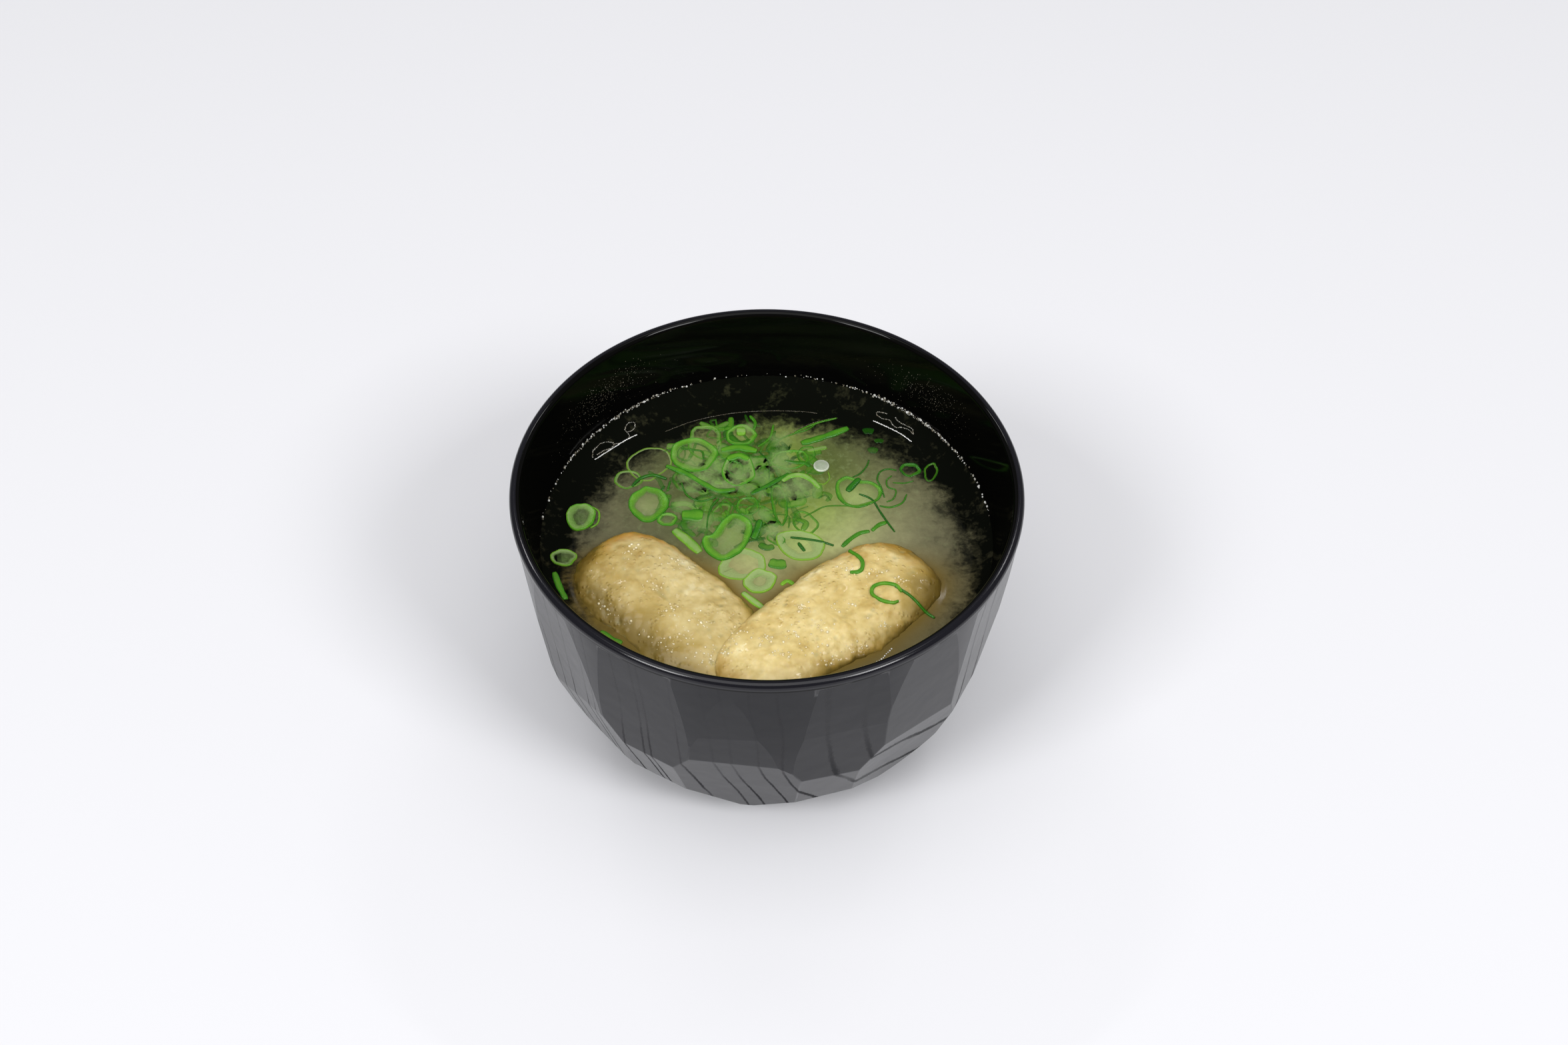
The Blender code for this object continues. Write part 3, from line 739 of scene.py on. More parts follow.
def makeSoup():
    bm = bmesh.new()
    tone = bm.verts.layers.float_color.new("soupTone")
    wall = hollowRadius(bowl["rim"] - soup["contact"]) + 0.35
    radii = [0.6 + 0.6 * i for i in range(76)]
    radii += [radii[-1] + (wall - radii[-1]) * (1 - (1 - i / 30) ** 1.6) for i in range(1, 31)]
    rings = []
    for r in radii:
        ring = ringOfPoints(bm, r, 0, 2 * soup["round"] if r > 45 else soup["round"])
        for vertex in ring:
            vertex.co.z = soupHeight(vertex.co.x, vertex.co.y)
        rings.append(ring)
    # the hidden part follows the wall down to the floor
    for depth in (20, 24, 30, 36, 42, 47, 50):
        rings.append(ringOfPoints(bm, hollowRadius(depth) + 0.1, bowl["rim"] - depth, 2 * soup["round"]))
    rings.append(ringOfPoints(bm, 30, bowl["rim"] - 57, 2 * soup["round"]))
    join = next(i for i, ring in enumerate(rings) if len(ring) > soup["round"])
    skin(bm, rings[:join])
    for i in range(soup["round"]):
        k = (i + 1) % soup["round"]
        low, high = rings[join - 1], rings[join]
        bm.faces.new((low[i], high[2 * i + 1], high[2 * i]))
        bm.faces.new((low[i], low[k], high[2 * i + 1]))
        bm.faces.new((low[k], high[(2 * i + 2) % len(high)], high[2 * i + 1]))
    skin(bm, rings[join:])
    middle = bm.verts.new((0, 0, soupHeight(0, 0)))
    for i in range(soup["round"]):
        bm.faces.new((rings[0][i], rings[0][(i + 1) % soup["round"]], middle))
    bm.faces.new(rings[-1])
    for vertex in bm.verts:
        vertex[tone] = soupTone(vertex.co.x, vertex.co.y)
    for face in bm.faces:
        inside = min(vertex[tone][3] for vertex in face.verts)
        reach = face.calc_center_median().xy.length
        thick = min(inside / 0.8, (48.5 - reach) / 2.5)
        face.material_index = 2 if thick > 0.75 else 1 if thick > 0.3 else 0
    piece = newPiece("misoSoup", bm, [misoBroth(*depth) for depth in cloud["depths"]])
    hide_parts("soup")


makeSoup()
print("soup poured")

# ---------- scallions

# ovals: x, y, half length, half width, turn, wall, height over the soup, tone (0 pale, 1 deep), sunk (0 to 1)
# outlines: wall, height, tone, sunk, then the points round the outside
# shreds: width, height, tone, sunk, then the points along the middle
scallions = {
    "skin": 0.30,  # width of the green line round the outside
    "wallScale": 1.22,
    "lift": 0.62,
    "ovals": (
        (-43.4, 6.4, 4.3, 3.3, 80, 1.5, 0.9, 0.25, 0.0),
        (-28.0, 10.8, 5.6, 4.7, 80, 1.7, 0.7, 0.5, 0.1),
        (-17.5, 26.6, 6.0, 5.7, 10, 1.5, 0.7, 0.4, 0.1),
        (-7.0, 21.8, 5.2, 4.1, 90, 1.2, 0.6, 0.4, 0.0),
        (-7.7, 22.3, 2.6, 2.0, 110, 0.5, 0.5, 0.8, 0.0),
        (-1.4, -12.6, 3.7, 3.4, 20, 2.1, 0.7, -0.1, 0.15),
        (5.4, 25.6, 4.8, 3.1, 6, 0.6, 0.4, 0.5, 0.1),
        (-4.6, 10.2, 3.0, 2.8, 80, 0.6, 0.4, 0.6, 0.1),
        (-46.4, -6.3, 3.0, 2.7, 20, 0.9, 0.6, 0.1, 0.2),
        (-28.4, 23.8, 6.0, 5.0, 60, 1.3, 0.2, -0.4, 0.6),
        (-23.3, 5.9, 2.4, 2.1, 0, 0.8, 0.5, 0.4, 0.1),
        (-15.2, 31.2, 5.9, 4.2, 100, 1.1, 0.35, 0.3, 0.45),
        (-6.5, 33.4, 3.8, 3.4, 5, 1.0, 0.45, 0.35, 0.1),
        (34.2, 22.4, 2.5, 2.2, 0, 0.8, 0.4, 0.9, 0.1),
        (39.2, 21.7, 3.0, 1.7, 80, 0.6, 0.3, 0.5, 0.6),
        (-5.4, -7.7, 5.6, 4.9, 12, 2.6, 0.3, -0.3, 0.3),
        (-33.2, 18.6, 3.3, 3.0, 0, 0.8, 0.3, 0.2, 0.5),
    ),
    "outlines": (
        (1.5, 0.9, 0.5, 0.0, (-14.6, 0.4), (-12.7, 1.2), (-10.4, 5.4), (-7.8, 7.6), (-4.8, 6.4), (-3.4, 3.7),
         (-4.1, -0.3), (-6.1, -4.2), (-10.1, -6.7), (-13.4, -4.8), (-14.9, -1.8)),
        (0.9, 0.5, 0.6, 0.0, (16.2, 15.6), (16.6, 18.3), (18.8, 20.0), (22.1, 18.8), (25.1, 18.2), (27.2, 15.8),
         (26.4, 12.7), (23.0, 10.4), (20.0, 10.1), (17.1, 12.2)),
        (2.2, 0.5, -0.2, 0.25, (2.1, 1.0), (5.9, 2.7), (10.4, 1.9), (13.4, -1.2), (11.7, -5.6), (6.8, -6.3), (3.3, -3.6)),
        (0.7, 0.4, 0.7, 0.0, (1.1, 16.2), (1.0, 10.9), (1.8, 6.9), (3.4, 4.0), (4.6, 6.2), (4.9, 9.6), (4.4, 13.4),
         (3.0, 16.8)),
    ),
    "shreds": (
        (1.4, 0.45, 0.7, 0.0, (-24.2, 22.9), (-19.3, 20.3), (-15.2, 17.2), (-11.4, 14.9), (-7.6, 15.4)),
        (1.2, 0.35, 0.9, 0.0, (-3.8, 14.0), (0.6, 17.1), (5.1, 20.6)),
        (0.35, 0.2, 1.0, 0.1, (-2.1, 28.0), (0.3, 24.2), (0.4, 18.8)),
        (0.5, 0.25, 0.7, 0.2, (-20.8, 28.7), (-18.2, 28.4), (-15.8, 27.8), (-15.4, 25.2)),
        (0.7, 0.5, 0.9, 0.0, (-32.0, 16.2), (-30.2, 18.7), (-27.2, 19.8), (-24.0, 18.6)),
        (0.45, 0.35, 0.8, 0.1, (-20.4, 17.5), (-19.0, 13.6), (-15.9, 11.6), (-12.2, 12.8)),
        (0.45, 0.35, 0.8, 0.1, (-14.0, 3.0), (-13.8, 6.5), (-12.9, 10.2), (-11.4, 12.4)),
        (3.6, 0.35, 0.5, 0.1, (-19.9, 7.2), (-17.4, 7.2), (-15.0, 7.0)),
        (1.6, 0.35, 0.9, 0.0, (-1.6, 5.8), (-2.2, 3.0), (-3.1, 0.0)),
        (0.3, 0.3, 1.0, 0.0, (-5.6, 1.8), (-3.8, 0.7), (-2.0, -0.2)),
        (1.8, 0.2, 0.8, 0.4, (-1.7, -1.6), (0.0, -2.6), (1.6, -2.2)),
        (3.0, 0.2, 0.6, 0.3, (0.6, -7.0), (2.6, -7.6), (4.4, -7.4)),
        (2.4, 0.3, 0.15, 0.2, (-21.6, 2.6), (-18.4, -0.6), (-15.4, -4.2)),
        (1.6, 0.3, 0.05, 0.1, (-5.4, -16.2), (-3.2, -18.4), (-0.8, -20.6)),
        (1.0, 0.3, 0.1, 0.0, (3.3, -13.8), (4.7, -12.6), (6.1, -13.7)),
        (1.5, 0.4, 0.6, 0.1, (-48.2, -11.3), (-46.8, -15.2), (-45.0, -18.9)),
        (2.0, 0.4, 0.5, 0.2, (-36.8, -28.0), (-34.4, -30.0), (-31.9, -31.4)),
        (0.45, 0.3, 1.0, 0.0, (21.8, 14.3), (24.7, 12.6), (26.4, 9.0), (28.2, 5.3), (29.7, 2.5)),
        (1.0, 0.35, 0.6, 0.0, (17.4, -2.2), (19.2, 0.0), (21.6, 2.0), (23.8, 2.6)),
        (1.0, 0.35, 0.5, 0.1, (24.4, 2.8), (26.1, 4.6), (27.8, 5.4)),
        (1.5, 0.4, 1.0, 0.0, (19.0, 15.2), (20.5, 17.3), (21.9, 19.2)),
        (0.4, 0.25, 0.9, 0.1, (20.4, 19.8), (22.1, 20.9), (23.7, 23.2), (24.4, 25.4)),
        (0.45, 0.25, 0.7, 0.1, (26.5, 10.6), (29.0, 10.2), (31.8, 11.6), (33.0, 14.3)),
        (0.4, 0.25, 0.8, 0.1, (27.7, 13.3), (27.0, 16.6), (26.2, 19.1), (27.0, 21.6), (28.9, 22.5), (30.9, 22.1)),
        (0.35, 0.25, 0.7, 0.2, (29.7, 20.3), (28.4, 18.7), (28.7, 16.6), (30.5, 15.6), (29.8, 12.9), (28.2, 11.9)),
        (0.35, 0.2, 0.6, 0.3, (29.9, 18.1), (32.7, 18.0), (34.8, 18.7)),
        (0.55, 0.35, 1.0, 0.0, (5.5, 0.5), (9.2, 0.0), (12.7, -0.8), (15.4, -1.9)),
        (0.8, 0.35, 0.9, 0.0, (7.3, -1.2), (8.7, -3.6)),
        (1.8, 0.4, 0.7, 0.0, (8.2, 30.8), (12.2, 32.4), (15.6, 34.0), (19.6, 36.1)),
        (1.4, 0.15, 0.1, 0.5, (9.6, 28.4), (14.3, 29.7)),
        (0.5, 0.25, 0.3, 0.4, (6.6, 34.5), (10.1, 36.8), (13.2, 38.3), (16.9, 39.5)),
        (0.35, 0.25, 0.5, 0.3, (1.4, 30.4), (3.2, 32.3), (6.0, 33.9), (9.5, 35.4), (11.7, 37.4)),
        (2.4, 0.1, 1.0, 0.85, (23.3, 35.0), (24.5, 35.4), (25.8, 35.0)),
        (2.2, 0.1, 0.9, 0.75, (24.4, 28.4), (25.4, 28.9), (26.6, 28.5)),
        (1.7, 0.1, 0.9, 0.85, (26.0, 31.7), (27.0, 32.1), (28.1, 31.7)),
        (1.0, 0.3, 0.8, 0.0, (4.2, 25.1), (6.9, 24.4), (8.9, 24.3), (10.2, 23.2)),
        (1.5, 0.4, 0.2, 0.0, (3.6, 18.2), (5.6, 19.9), (8.1, 20.2), (10.5, 18.6), (12.4, 16.0)),
        (0.35, 0.2, 0.5, 0.4, (8.6, 6.9), (10.7, 8.4), (13.4, 10.2), (16.7, 10.6), (21.0, 10.4)),
        (1.9, 0.4, 0.5, 0.1, (-11.2, 28.2), (-6.9, 29.2), (-2.6, 28.1)),
        (0.8, 0.35, 0.5, 0.2, (-4.4, 40.0), (-3.1, 37.8), (-3.4, 35.4)),
        (0.6, 0.25, 0.4, 0.3, (1.4, 37.0), (0.5, 32.6), (-2.3, 29.6)),
        (2.6, 0.5, 0.15, 0.0, (-7.6, 34.6), (-5.4, 34.7)),
        (1.8, 0.45, 0.5, 0.0, (-9.6, 25.2), (-7.0, 26.4), (-4.6, 25.2)),
        (0.5, 0.25, 0.8, 0.1, (-23.1, 18.0), (-23.6, 15.0)),
        (0.8, 0.3, 0.1, 0.2, (-12.6, 17.7), (-10.6, 17.3)),
        (0.45, 0.3, 0.1, 0.2, (-41.2, 9.6), (-39.4, 8.0), (-39.4, 4.6), (-41.0, 3.0)),
        (0.4, 0.2, -0.2, 0.5, (10.2, 20.5), (11.7, 18.1), (13.5, 17.5), (14.8, 19.3), (14.5, 21.4)),
    ),
    "sunkLeaves": {"count": 200, "seed": 8, "centre": (-7.0, 18.5), "spread": (13.0, 10.0), "reach": 24.5},
    "sunkRings": 16,
    "veils": {"count": 40, "seed": 21, "size": (2.0, 4.8), "cover": 0.42},
    "film": 0.17,  # how much the cloudy film across a ring covers
    # these lie on the right slice
    "draped": (
        (0.8, 0.5, 0.3, 0.0, (30.2, -18.6), (29.0, -16.9), (26.4, -16.2), (24.0, -17.2), (23.6, -19.4), (25.6, -21.4),
         (28.0, -21.8), (29.4, -21.2)),
        (0.6, 0.45, 0.7, 0.0, (28.8, -17.2), (31.6, -18.9), (34.8, -21.2), (37.6, -23.2)),
        (0.9, 0.5, 0.4, 0.0, (18.8, -5.6), (20.2, -7.2), (21.6, -9.4), (21.6, -11.6), (20.6, -12.8), (18.8, -13.0)),
    ),
}


def leafFlesh():
    material, tree, shader = newMaterial("leafFlesh")
    tint = addNode(tree, "ShaderNodeAttribute", attribute_name="leafTone")
    parts = addNode(tree, "ShaderNodeSeparateColor", {0: tint.outputs["Color"]})
    skinSide, tone, solid = parts.outputs[0], parts.outputs[1], parts.outputs[2]
    place = placeInMm(tree)
    fibre = noiseNode(tree, place, 1.6, 3.0)
    patch = noiseNode(tree, place, 0.35, 2.0)
    varied = mathNode(tree, "ADD", tone, mathNode(tree, "MULTIPLY", mathNode(tree, "SUBTRACT", patch, 0.5), 0.5), True)
    skinColour = rampNode(
        tree, varied, [(0.0, (0.20, 0.42, 0.028)), (0.35, (0.06, 0.27, 0.010)), (1.0, (0.014, 0.105, 0.008))]
    )
    fleshColour = rampNode(
        tree, varied, [(0.0, (0.36, 0.50, 0.18)), (0.45, (0.13, 0.38, 0.022)), (1.0, (0.024, 0.18, 0.006))]
    )
    side = mathNode(tree, "ADD", skinSide, mathNode(tree, "MULTIPLY", mathNode(tree, "SUBTRACT", fibre, 0.5), 0.5))
    colour = mixColour(tree, greyRamp(tree, side, 0.3, 0.75), fleshColour, skinColour)
    tree.links.new(colour, shader.inputs["Base Color"])
    shader.inputs["Roughness"].default_value = 0.22
    shader.inputs["Specular IOR Level"].default_value = 0.35
    tree.links.new(bumpNode(tree, fibre, 0.08 * mm), shader.inputs["Normal"])
    clear = addNode(tree, "ShaderNodeBsdfTransparent")
    cover = mathNode(tree, "ADD", solid, mathNode(tree, "MULTIPLY", mathNode(tree, "SUBTRACT", fibre, 0.5), 0.25), True)
    mixed = addNode(tree, "ShaderNodeMixShader", {0: cover, 1: clear.outputs[0], 2: shader.outputs[0]})
    tree.links.new(mixed.outputs[0], tree.nodes["Material Output"].inputs["Surface"])
    return material


def curveThrough(points, closed, spacing):
    # even points along a smooth curve through the given ones
    count = len(points)
    dense = []
    for i in range(count if closed else count - 1):
        if closed:
            a, b, c, d = (Vector(points[(i + k - 1) % count]) for k in range(4))
        else:
            a, b, c, d = (Vector(points[min(count - 1, max(0, i + k - 1))]) for k in range(4))
        for step in range(24):
            t = step / 24
            dense.append(
                0.5 * (2 * b + (c - a) * t + (2 * a - 5 * b + 4 * c - d) * t**2 + (3 * b - a - 3 * c + d) * t**3)
            )
    dense.append(dense[0].copy() if closed else Vector(points[-1]))
    lengths = [0.0]
    for one, other in zip(dense, dense[1:]):
        lengths.append(lengths[-1] + (other - one).length)
    pieces = max(6, round(lengths[-1] / spacing))
    result, k = [], 0
    for i in range(pieces if closed else pieces + 1):
        want = lengths[-1] * i / pieces
        while k < len(dense) - 2 and lengths[k + 1] < want:
            k += 1
        span = lengths[k + 1] - lengths[k]
        result.append(dense[k].lerp(dense[k + 1], (want - lengths[k]) / span if span else 0))
    return result


def sideways(path, closed):
    # unit vectors to the left of the path
    count = len(path)
    turned = []
    for i in range(count):
        ahead = path[(i + 1) % count] if closed else path[min(count - 1, i + 1)]
        behind = path[i - 1] if closed else path[max(0, i - 1)]
        way = (ahead - behind).normalized()
        turned.append(Vector((-way.y, way.x)))
    return turned


def restingHeight(x, y):
    best = soupHeight(x, y)
    for tree in tofuTops:
        hit = tree.ray_cast(Vector((x, y, 90)), Vector((0, 0, -1)))[0]
        best = max(best, hit.z) if hit else best
    return best


def inward(path):
    # between square to the edge and straight at the middle, so a wide wall never folds over itself
    middle = sum(path, Vector((0, 0))) / len(path)
    return [(side + (middle - point).normalized() * 1.6).normalized() for side, point in zip(sideways(path, True), path)]


def leafSection(bm, layer, path, closed, section, heights, tone, sunk):
    left = inward(path) if closed else sideways(path, False)
    rings = []
    for across, up, side, solid in section:
        ring = []
        for i, point in enumerate(path):
            place = point + left[i] * (across(i) if callable(across) else across)
            vertex = bm.verts.new((place.x, place.y, heights[i] + up))
            vertex[layer] = (side, tone, solid * (1 - 0.75 * sunk), 1)
            ring.append(vertex)
        rings.append(ring)
    if closed:
        skin(bm, rings, closed=True)
        return
    for one, other in zip(rings, rings[1:] + rings[:1]):
        for i in range(len(path) - 1):
            bm.faces.new((one[i], one[i + 1], other[i + 1], other[i]))
    bm.faces.new([ring[0] for ring in rings])
    bm.faces.new([ring[-1] for ring in rings])


def leafRing(bm, layer, outline, wall, top, tone, sunk, seed):
    path = curveThrough(outline, True, 0.28)
    area = sum(a.x * b.y - b.x * a.y for a, b in zip(path, path[1:] + path[:1]))
    if area < 0:
        path.reverse()
    wavy = [
        point + offset * 0.10 * noise.noise(Vector((i * 0.21, seed, 0)))
        for i, (point, offset) in enumerate(zip(path, sideways(path, True)))
    ]
    middle = sum(path, Vector((0, 0))) / len(path)
    top *= scallions["lift"]
    thick = []
    for i in range(len(path)):
        angle = fullTurn * i / len(path)
        swell = noise.noise(Vector((math.cos(angle), math.sin(angle), seed * 3.1)))
        thick.append(min(wall * scallions["wallScale"] * (1 + 0.45 * swell), 0.64 * (path[i] - middle).length))
    line = scallions["skin"]

    def share(part):
        return lambda i: line + (thick[i] - line) * part

    section = [
        (0.0, -0.8, 1, 1),
        (0.0, top - 0.22, 1, 1),
        (0.07, top - 0.06, 1, 1),
        (line * 0.55, top, 1, 0.98),
        (line, top - 0.05, 0.7, 0.9),
        (share(0.16), top - 0.12, 0.1, 0.82),
        (share(0.5), top - 0.18, 0, 0.70),
        (share(0.8), top - 0.22, 0, 0.46),
        (share(0.96), top - 0.28, 0.05, 0.24),
        (share(1.0), top - 0.42, 0.1, 0.1),
        (share(1.0), -0.8, 0.1, 0.1),
    ]
    heights = [soupHeight(p.x, p.y) for p in path]
    leafSection(bm, layer, wavy, True, section, heights, tone, sunk)
    film = []
    for drop in (0.30, 0.45):
        loop = []
        for point, offset, deep in zip(wavy, inward(wavy), thick):
            place = point + offset * deep * 0.6
            vertex = bm.verts.new((place.x, place.y, sum(heights) / len(heights) + top - drop))
            vertex[layer] = (0, 0.1, scallions["film"] * (1 - 0.5 * sunk), 1)
            loop.append(vertex)
        film.append(loop)
    skin(bm, film)
    bm.faces.new(film[0])
    bm.faces.new(list(reversed(film[1])))


def leafShred(bm, layer, spec, seed, draped=False):
    width, top, tone, sunk, *points = spec
    path = curveThrough(points, False, 0.3)
    count = len(path)
    if draped:
        raw = [restingHeight(p.x, p.y) for p in path]
        heights = [sum(raw[max(0, i - 4) : i + 5]) / len(raw[max(0, i - 4) : i + 5]) for i in range(count)]
    else:
        heights = [soupHeight(p.x, p.y) for p in path]
    half = [
        width / 2 * (1 + 0.22 * noise.noise(Vector((i * 0.12, seed, 2)))) * (1 - 0.35 * abs(2 * i / (count - 1) - 1) ** 6)
        for i in range(count)
    ]

    def share(part):
        return lambda i: half[i] * part

    middle = 0.75 if width < 1.2 else 0.35
    section = [
        (share(-1.0), -0.6, 1, 1),
        (share(-1.0), top - 0.14, 1, 1),
        (share(-0.82), top - 0.03, 0.9, 1),
        (share(-0.35), top, middle, 0.86),
        (share(0.35), top - 0.02, middle, 0.86),
        (share(0.82), top - 0.05, 0.8, 0.95),
        (share(1.0), top - 0.16, 0.9, 1),
        (share(1.0), -0.6, 0.9, 1),
    ]
    leafSection(bm, layer, path, False, section, heights, tone, sunk)


def ovalOutline(x, y, halfLength, halfWidth, turn, seed):
    points = []
    for i in range(16):
        angle = fullTurn * i / 16
        lump = 1 + 0.17 * noise.noise(Vector((math.cos(angle) * 1.3 + seed, math.sin(angle) * 1.3, seed * 1.7)))
        u, v = halfLength * lump * math.cos(angle), halfWidth * lump * math.sin(angle)
        c, s = math.cos(math.radians(turn)), math.sin(math.radians(turn))
        points.append((x + u * c - v * s, y + u * s + v * c))
    return points


def newLeafMesh():
    bm = bmesh.new()
    return bm, bm.verts.layers.float_color.new("leafTone")


flesh = leafFlesh()
bm, layer = newLeafMesh()
for seed, (x, y, halfLength, halfWidth, turn, wall, top, tone, sunk) in enumerate(scallions["ovals"]):
    leafRing(bm, layer, ovalOutline(x, y, halfLength, halfWidth, turn, seed), wall, top, tone, sunk, seed)
for seed, (wall, top, tone, sunk, *outline) in enumerate(scallions["outlines"], 40):
    leafRing(bm, layer, outline, wall, top, tone, sunk, seed)
piece = newPiece("scallionRings", bm, [flesh])
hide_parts(*["scallion_ring_%d" % i for i in range(1, 11)])
bm, layer = newLeafMesh()
for seed, spec in enumerate(scallions["shreds"], 60):
    leafShred(bm, layer, spec, seed)
piece = newPiece("scallionShreds", bm, [flesh])
bm, layer = newLeafMesh()
deep = scallions["sunkLeaves"]
hand = random.Random(deep["seed"])
for seed in range(deep["count"]):
    x, y = (hand.gauss(c, spread) for c, spread in zip(deep["centre"], deep["spread"]))
    turn, bend = hand.uniform(0, fullTurn), hand.uniform(-2.2, 2.2)
    length, width = hand.uniform(3.0, 8.5), hand.choice((0.45, 0.7, 1.1, 1.6, 2.6))
    path = []
    for k in (-1, 0, 1):
        angle = turn + bend * k * 0.5
        path.append((x + length / 2 * k * math.cos(angle), y + length / 2 * k * math.sin(angle)))
    if min(outsideSlice(shape, x, y) for shape in tofuSlices.values()) < length / 2 + 0.5:
        continue
    if math.dist((x, y), deep["centre"]) > deep["reach"] - length / 2:
        continue
    tone, sunk = hand.uniform(0.2, 0.95), hand.uniform(0.45, 0.9)
    leafShred(bm, layer, (width, 0.12, tone, sunk, *path), seed + 200)
    if seed < scallions["sunkRings"]:
        size = hand.uniform(2.4, 4.6)
        oval = ovalOutline(x, y, size, size * hand.uniform(0.6, 0.95), math.degrees(turn), seed + 300)
        leafRing(bm, layer, oval, hand.uniform(0.7, 1.5), 0.25, tone, sunk * 0.7, seed + 300)
piece = newPiece("sunkScallions", bm, [flesh])


def pulpVeil(bm, layer, x, y, size, cover, seed):
    # a thin puff of soft pulp, thickest in the middle and gone at its edge
    count = 28
    rings = []
    for part, solid in ((0.22, 1.0), (0.45, 0.8), (0.7, 0.45), (1.0, 0.0)):
        ring = []
        for i in range(count):
            angle = fullTurn * i / count
            turn = Vector((math.cos(angle), math.sin(angle), seed * 2.3))
            reach = size * part * (1 + 0.45 * noise.noise(turn) + 0.2 * noise.noise(turn * 3))
            px, py = x + reach * turn.x, y + reach * turn.y
            vertex = bm.verts.new((px, py, soupHeight(px, py) + 0.34 - 0.1 * part))
            vertex[layer] = (0, 0, cover * solid - 0.1, 1)
            ring.append(vertex)
        rings.append(ring)
    skin(bm, rings)
    bm.faces.new(rings[0])
    under = bm.verts.new((x, y, soupHeight(x, y) - 0.1))
    under[layer] = (0, 0, -0.1, 1)
    for i in range(count):
        bm.faces.new((rings[-1][i], rings[-1][(i + 1) % count], under))


bm, layer = newLeafMesh()
veils = scallions["veils"]
hand = random.Random(veils["seed"])
for seed in range(veils["count"]):
    x, y = (hand.gauss(c, spread) for c, spread in zip(deep["centre"], deep["spread"]))
    size = hand.uniform(*veils["size"])
    clear = min(outsideSlice(shape, x, y) for shape in tofuSlices.values())
    if clear > size + 1 and math.dist((x, y), deep["centre"]) < deep["reach"] - size - 1:
        pulpVeil(bm, layer, x, y, size, veils["cover"], seed)
piece = newPiece("pulpVeils", bm, [flesh])
bm, layer = newLeafMesh()
for seed, spec in enumerate(scallions["draped"], 120):
    leafShred(bm, layer, spec, seed, draped=True)
piece = newPiece("scallionsOnTofu", bm, [flesh])
print("scallions scattered")

# ---------- foam, drops and wet specks, with painted glints and reflections

# chains: bubble size, spacing, tone (0 dark and wet, 1 white, which paints a glint), then the points they follow
dropsAndGlints = {
    "seed": 5,
    "chains": (
        (0.15, 0.38, 0.5, (-34.8, 34.5), (-34.2, 36.3), (-32.8, 37.0), (-32.4, 35.8), (-33.0, 34.5), (-34.2, 33.9)),
        (0.16, 0.40, 0.5, (-42.0, 25.2), (-42.0, 26.9), (-41.1, 28.4), (-40.1, 29.6), (-38.4, 30.3), (-37.1, 29.9),
         (-37.9, 28.4), (-39.3, 27.7), (-40.9, 26.2)),
        (0.10, 0.26, 0.5, (-37.3, 29.8), (-35.9, 30.3), (-34.8, 30.8), (-33.6, 32.6), (-34.6, 34.3)),
        (0.15, 0.38, 0.5, (29.2, 40.4), (27.3, 41.2), (26.7, 40.6), (28.1, 39.2), (29.8, 38.6), (30.5, 37.2),
         (31.3, 36.3), (32.9, 36.0), (34.6, 35.0), (35.4, 33.8), (35.2, 35.3), (33.6, 36.6), (32.1, 37.8),
         (31.3, 39.0)),
        (0.22, 0.6, 0.9, (23.0, -36.7), (24.3, -35.5), (25.5, -34.6), (26.5, -33.2), (27.7, -31.9)),
        (0.13, 0.34, 0.5, (-10.2, 5.9), (-9.0, 6.9), (-7.8, 7.5), (-6.4, 7.2)),
        # these two white chains and the tan one below are painted reflections of the lip's highlight in the soup by the
        # wall
        (0.16, 0.22, 1.0, (-41.4, 24.6), (-39.0, 27.0), (-36.9, 29.0), (-34.6, 31.2), (-31.9, 33.2)),
        (0.14, 0.20, 1.0, (25.9, 38.6), (29.4, 36.4), (32.6, 34.0), (34.9, 31.6)),
        (0.07, 0.15, 0.35, (-24.9, 34.6), (-17.9, 38.3), (-9.2, 40.9), (-0.5, 41.9), (8.3, 41.8), (12.0, 41.2)),
        (0.08, 0.22, 0.3, (-0.2, 29.0), (5.0, 34.0), (10.3, 37.5), (13.9, 39.0), (17.1, 39.7)),
    ),
    # waterline beads crowd where the lamps glint on the contact line; their pale and white tones are painted glints
    "waterline": {"count": 620, "size": (0.08, 0.40), "middles": (136, 46), "spread": 15},
    # the fine specks up the wall are drops whose grey-tan tone paints the hazy lamp reflection on the inner wall
    "mistAndPaintedHaze": ((138, 16, 500), (44, 15, 360)),
    "disc": (12.9, 23.3, 1.9),
    "crumb": (34.75, 43.95),
    # wet bubbles standing on the tofu, in little groups
    "groups": (
        (-38.8, -21.6), (-35.3, -24.1), (-31.8, -28.3), (-27.1, -31.5), (-21.9, -33.1), (-15.0, -26.4), (-6.5, -30.5),
        (-14.1, -36.4), (-21.0, -24.0), (-25.2, -17.2), (-18.1, -30.6), (-10.3, -34.6), (-31.1, -6.8), (-21.5, -10.2),
        (-0.1, -32.1), (5.1, -31.2), (12.2, -28.7), (16.9, -21.9), (18.5, -11.6), (10.2, -35.3), (14.0, -37.3),
        (30.3, -15.0), (24.6, -26.9), (2.5, -36.9), (20.5, -33.5), (7.7, -23.7), (23.8, -13.3),
    ),
    "perGroup": 15,
}


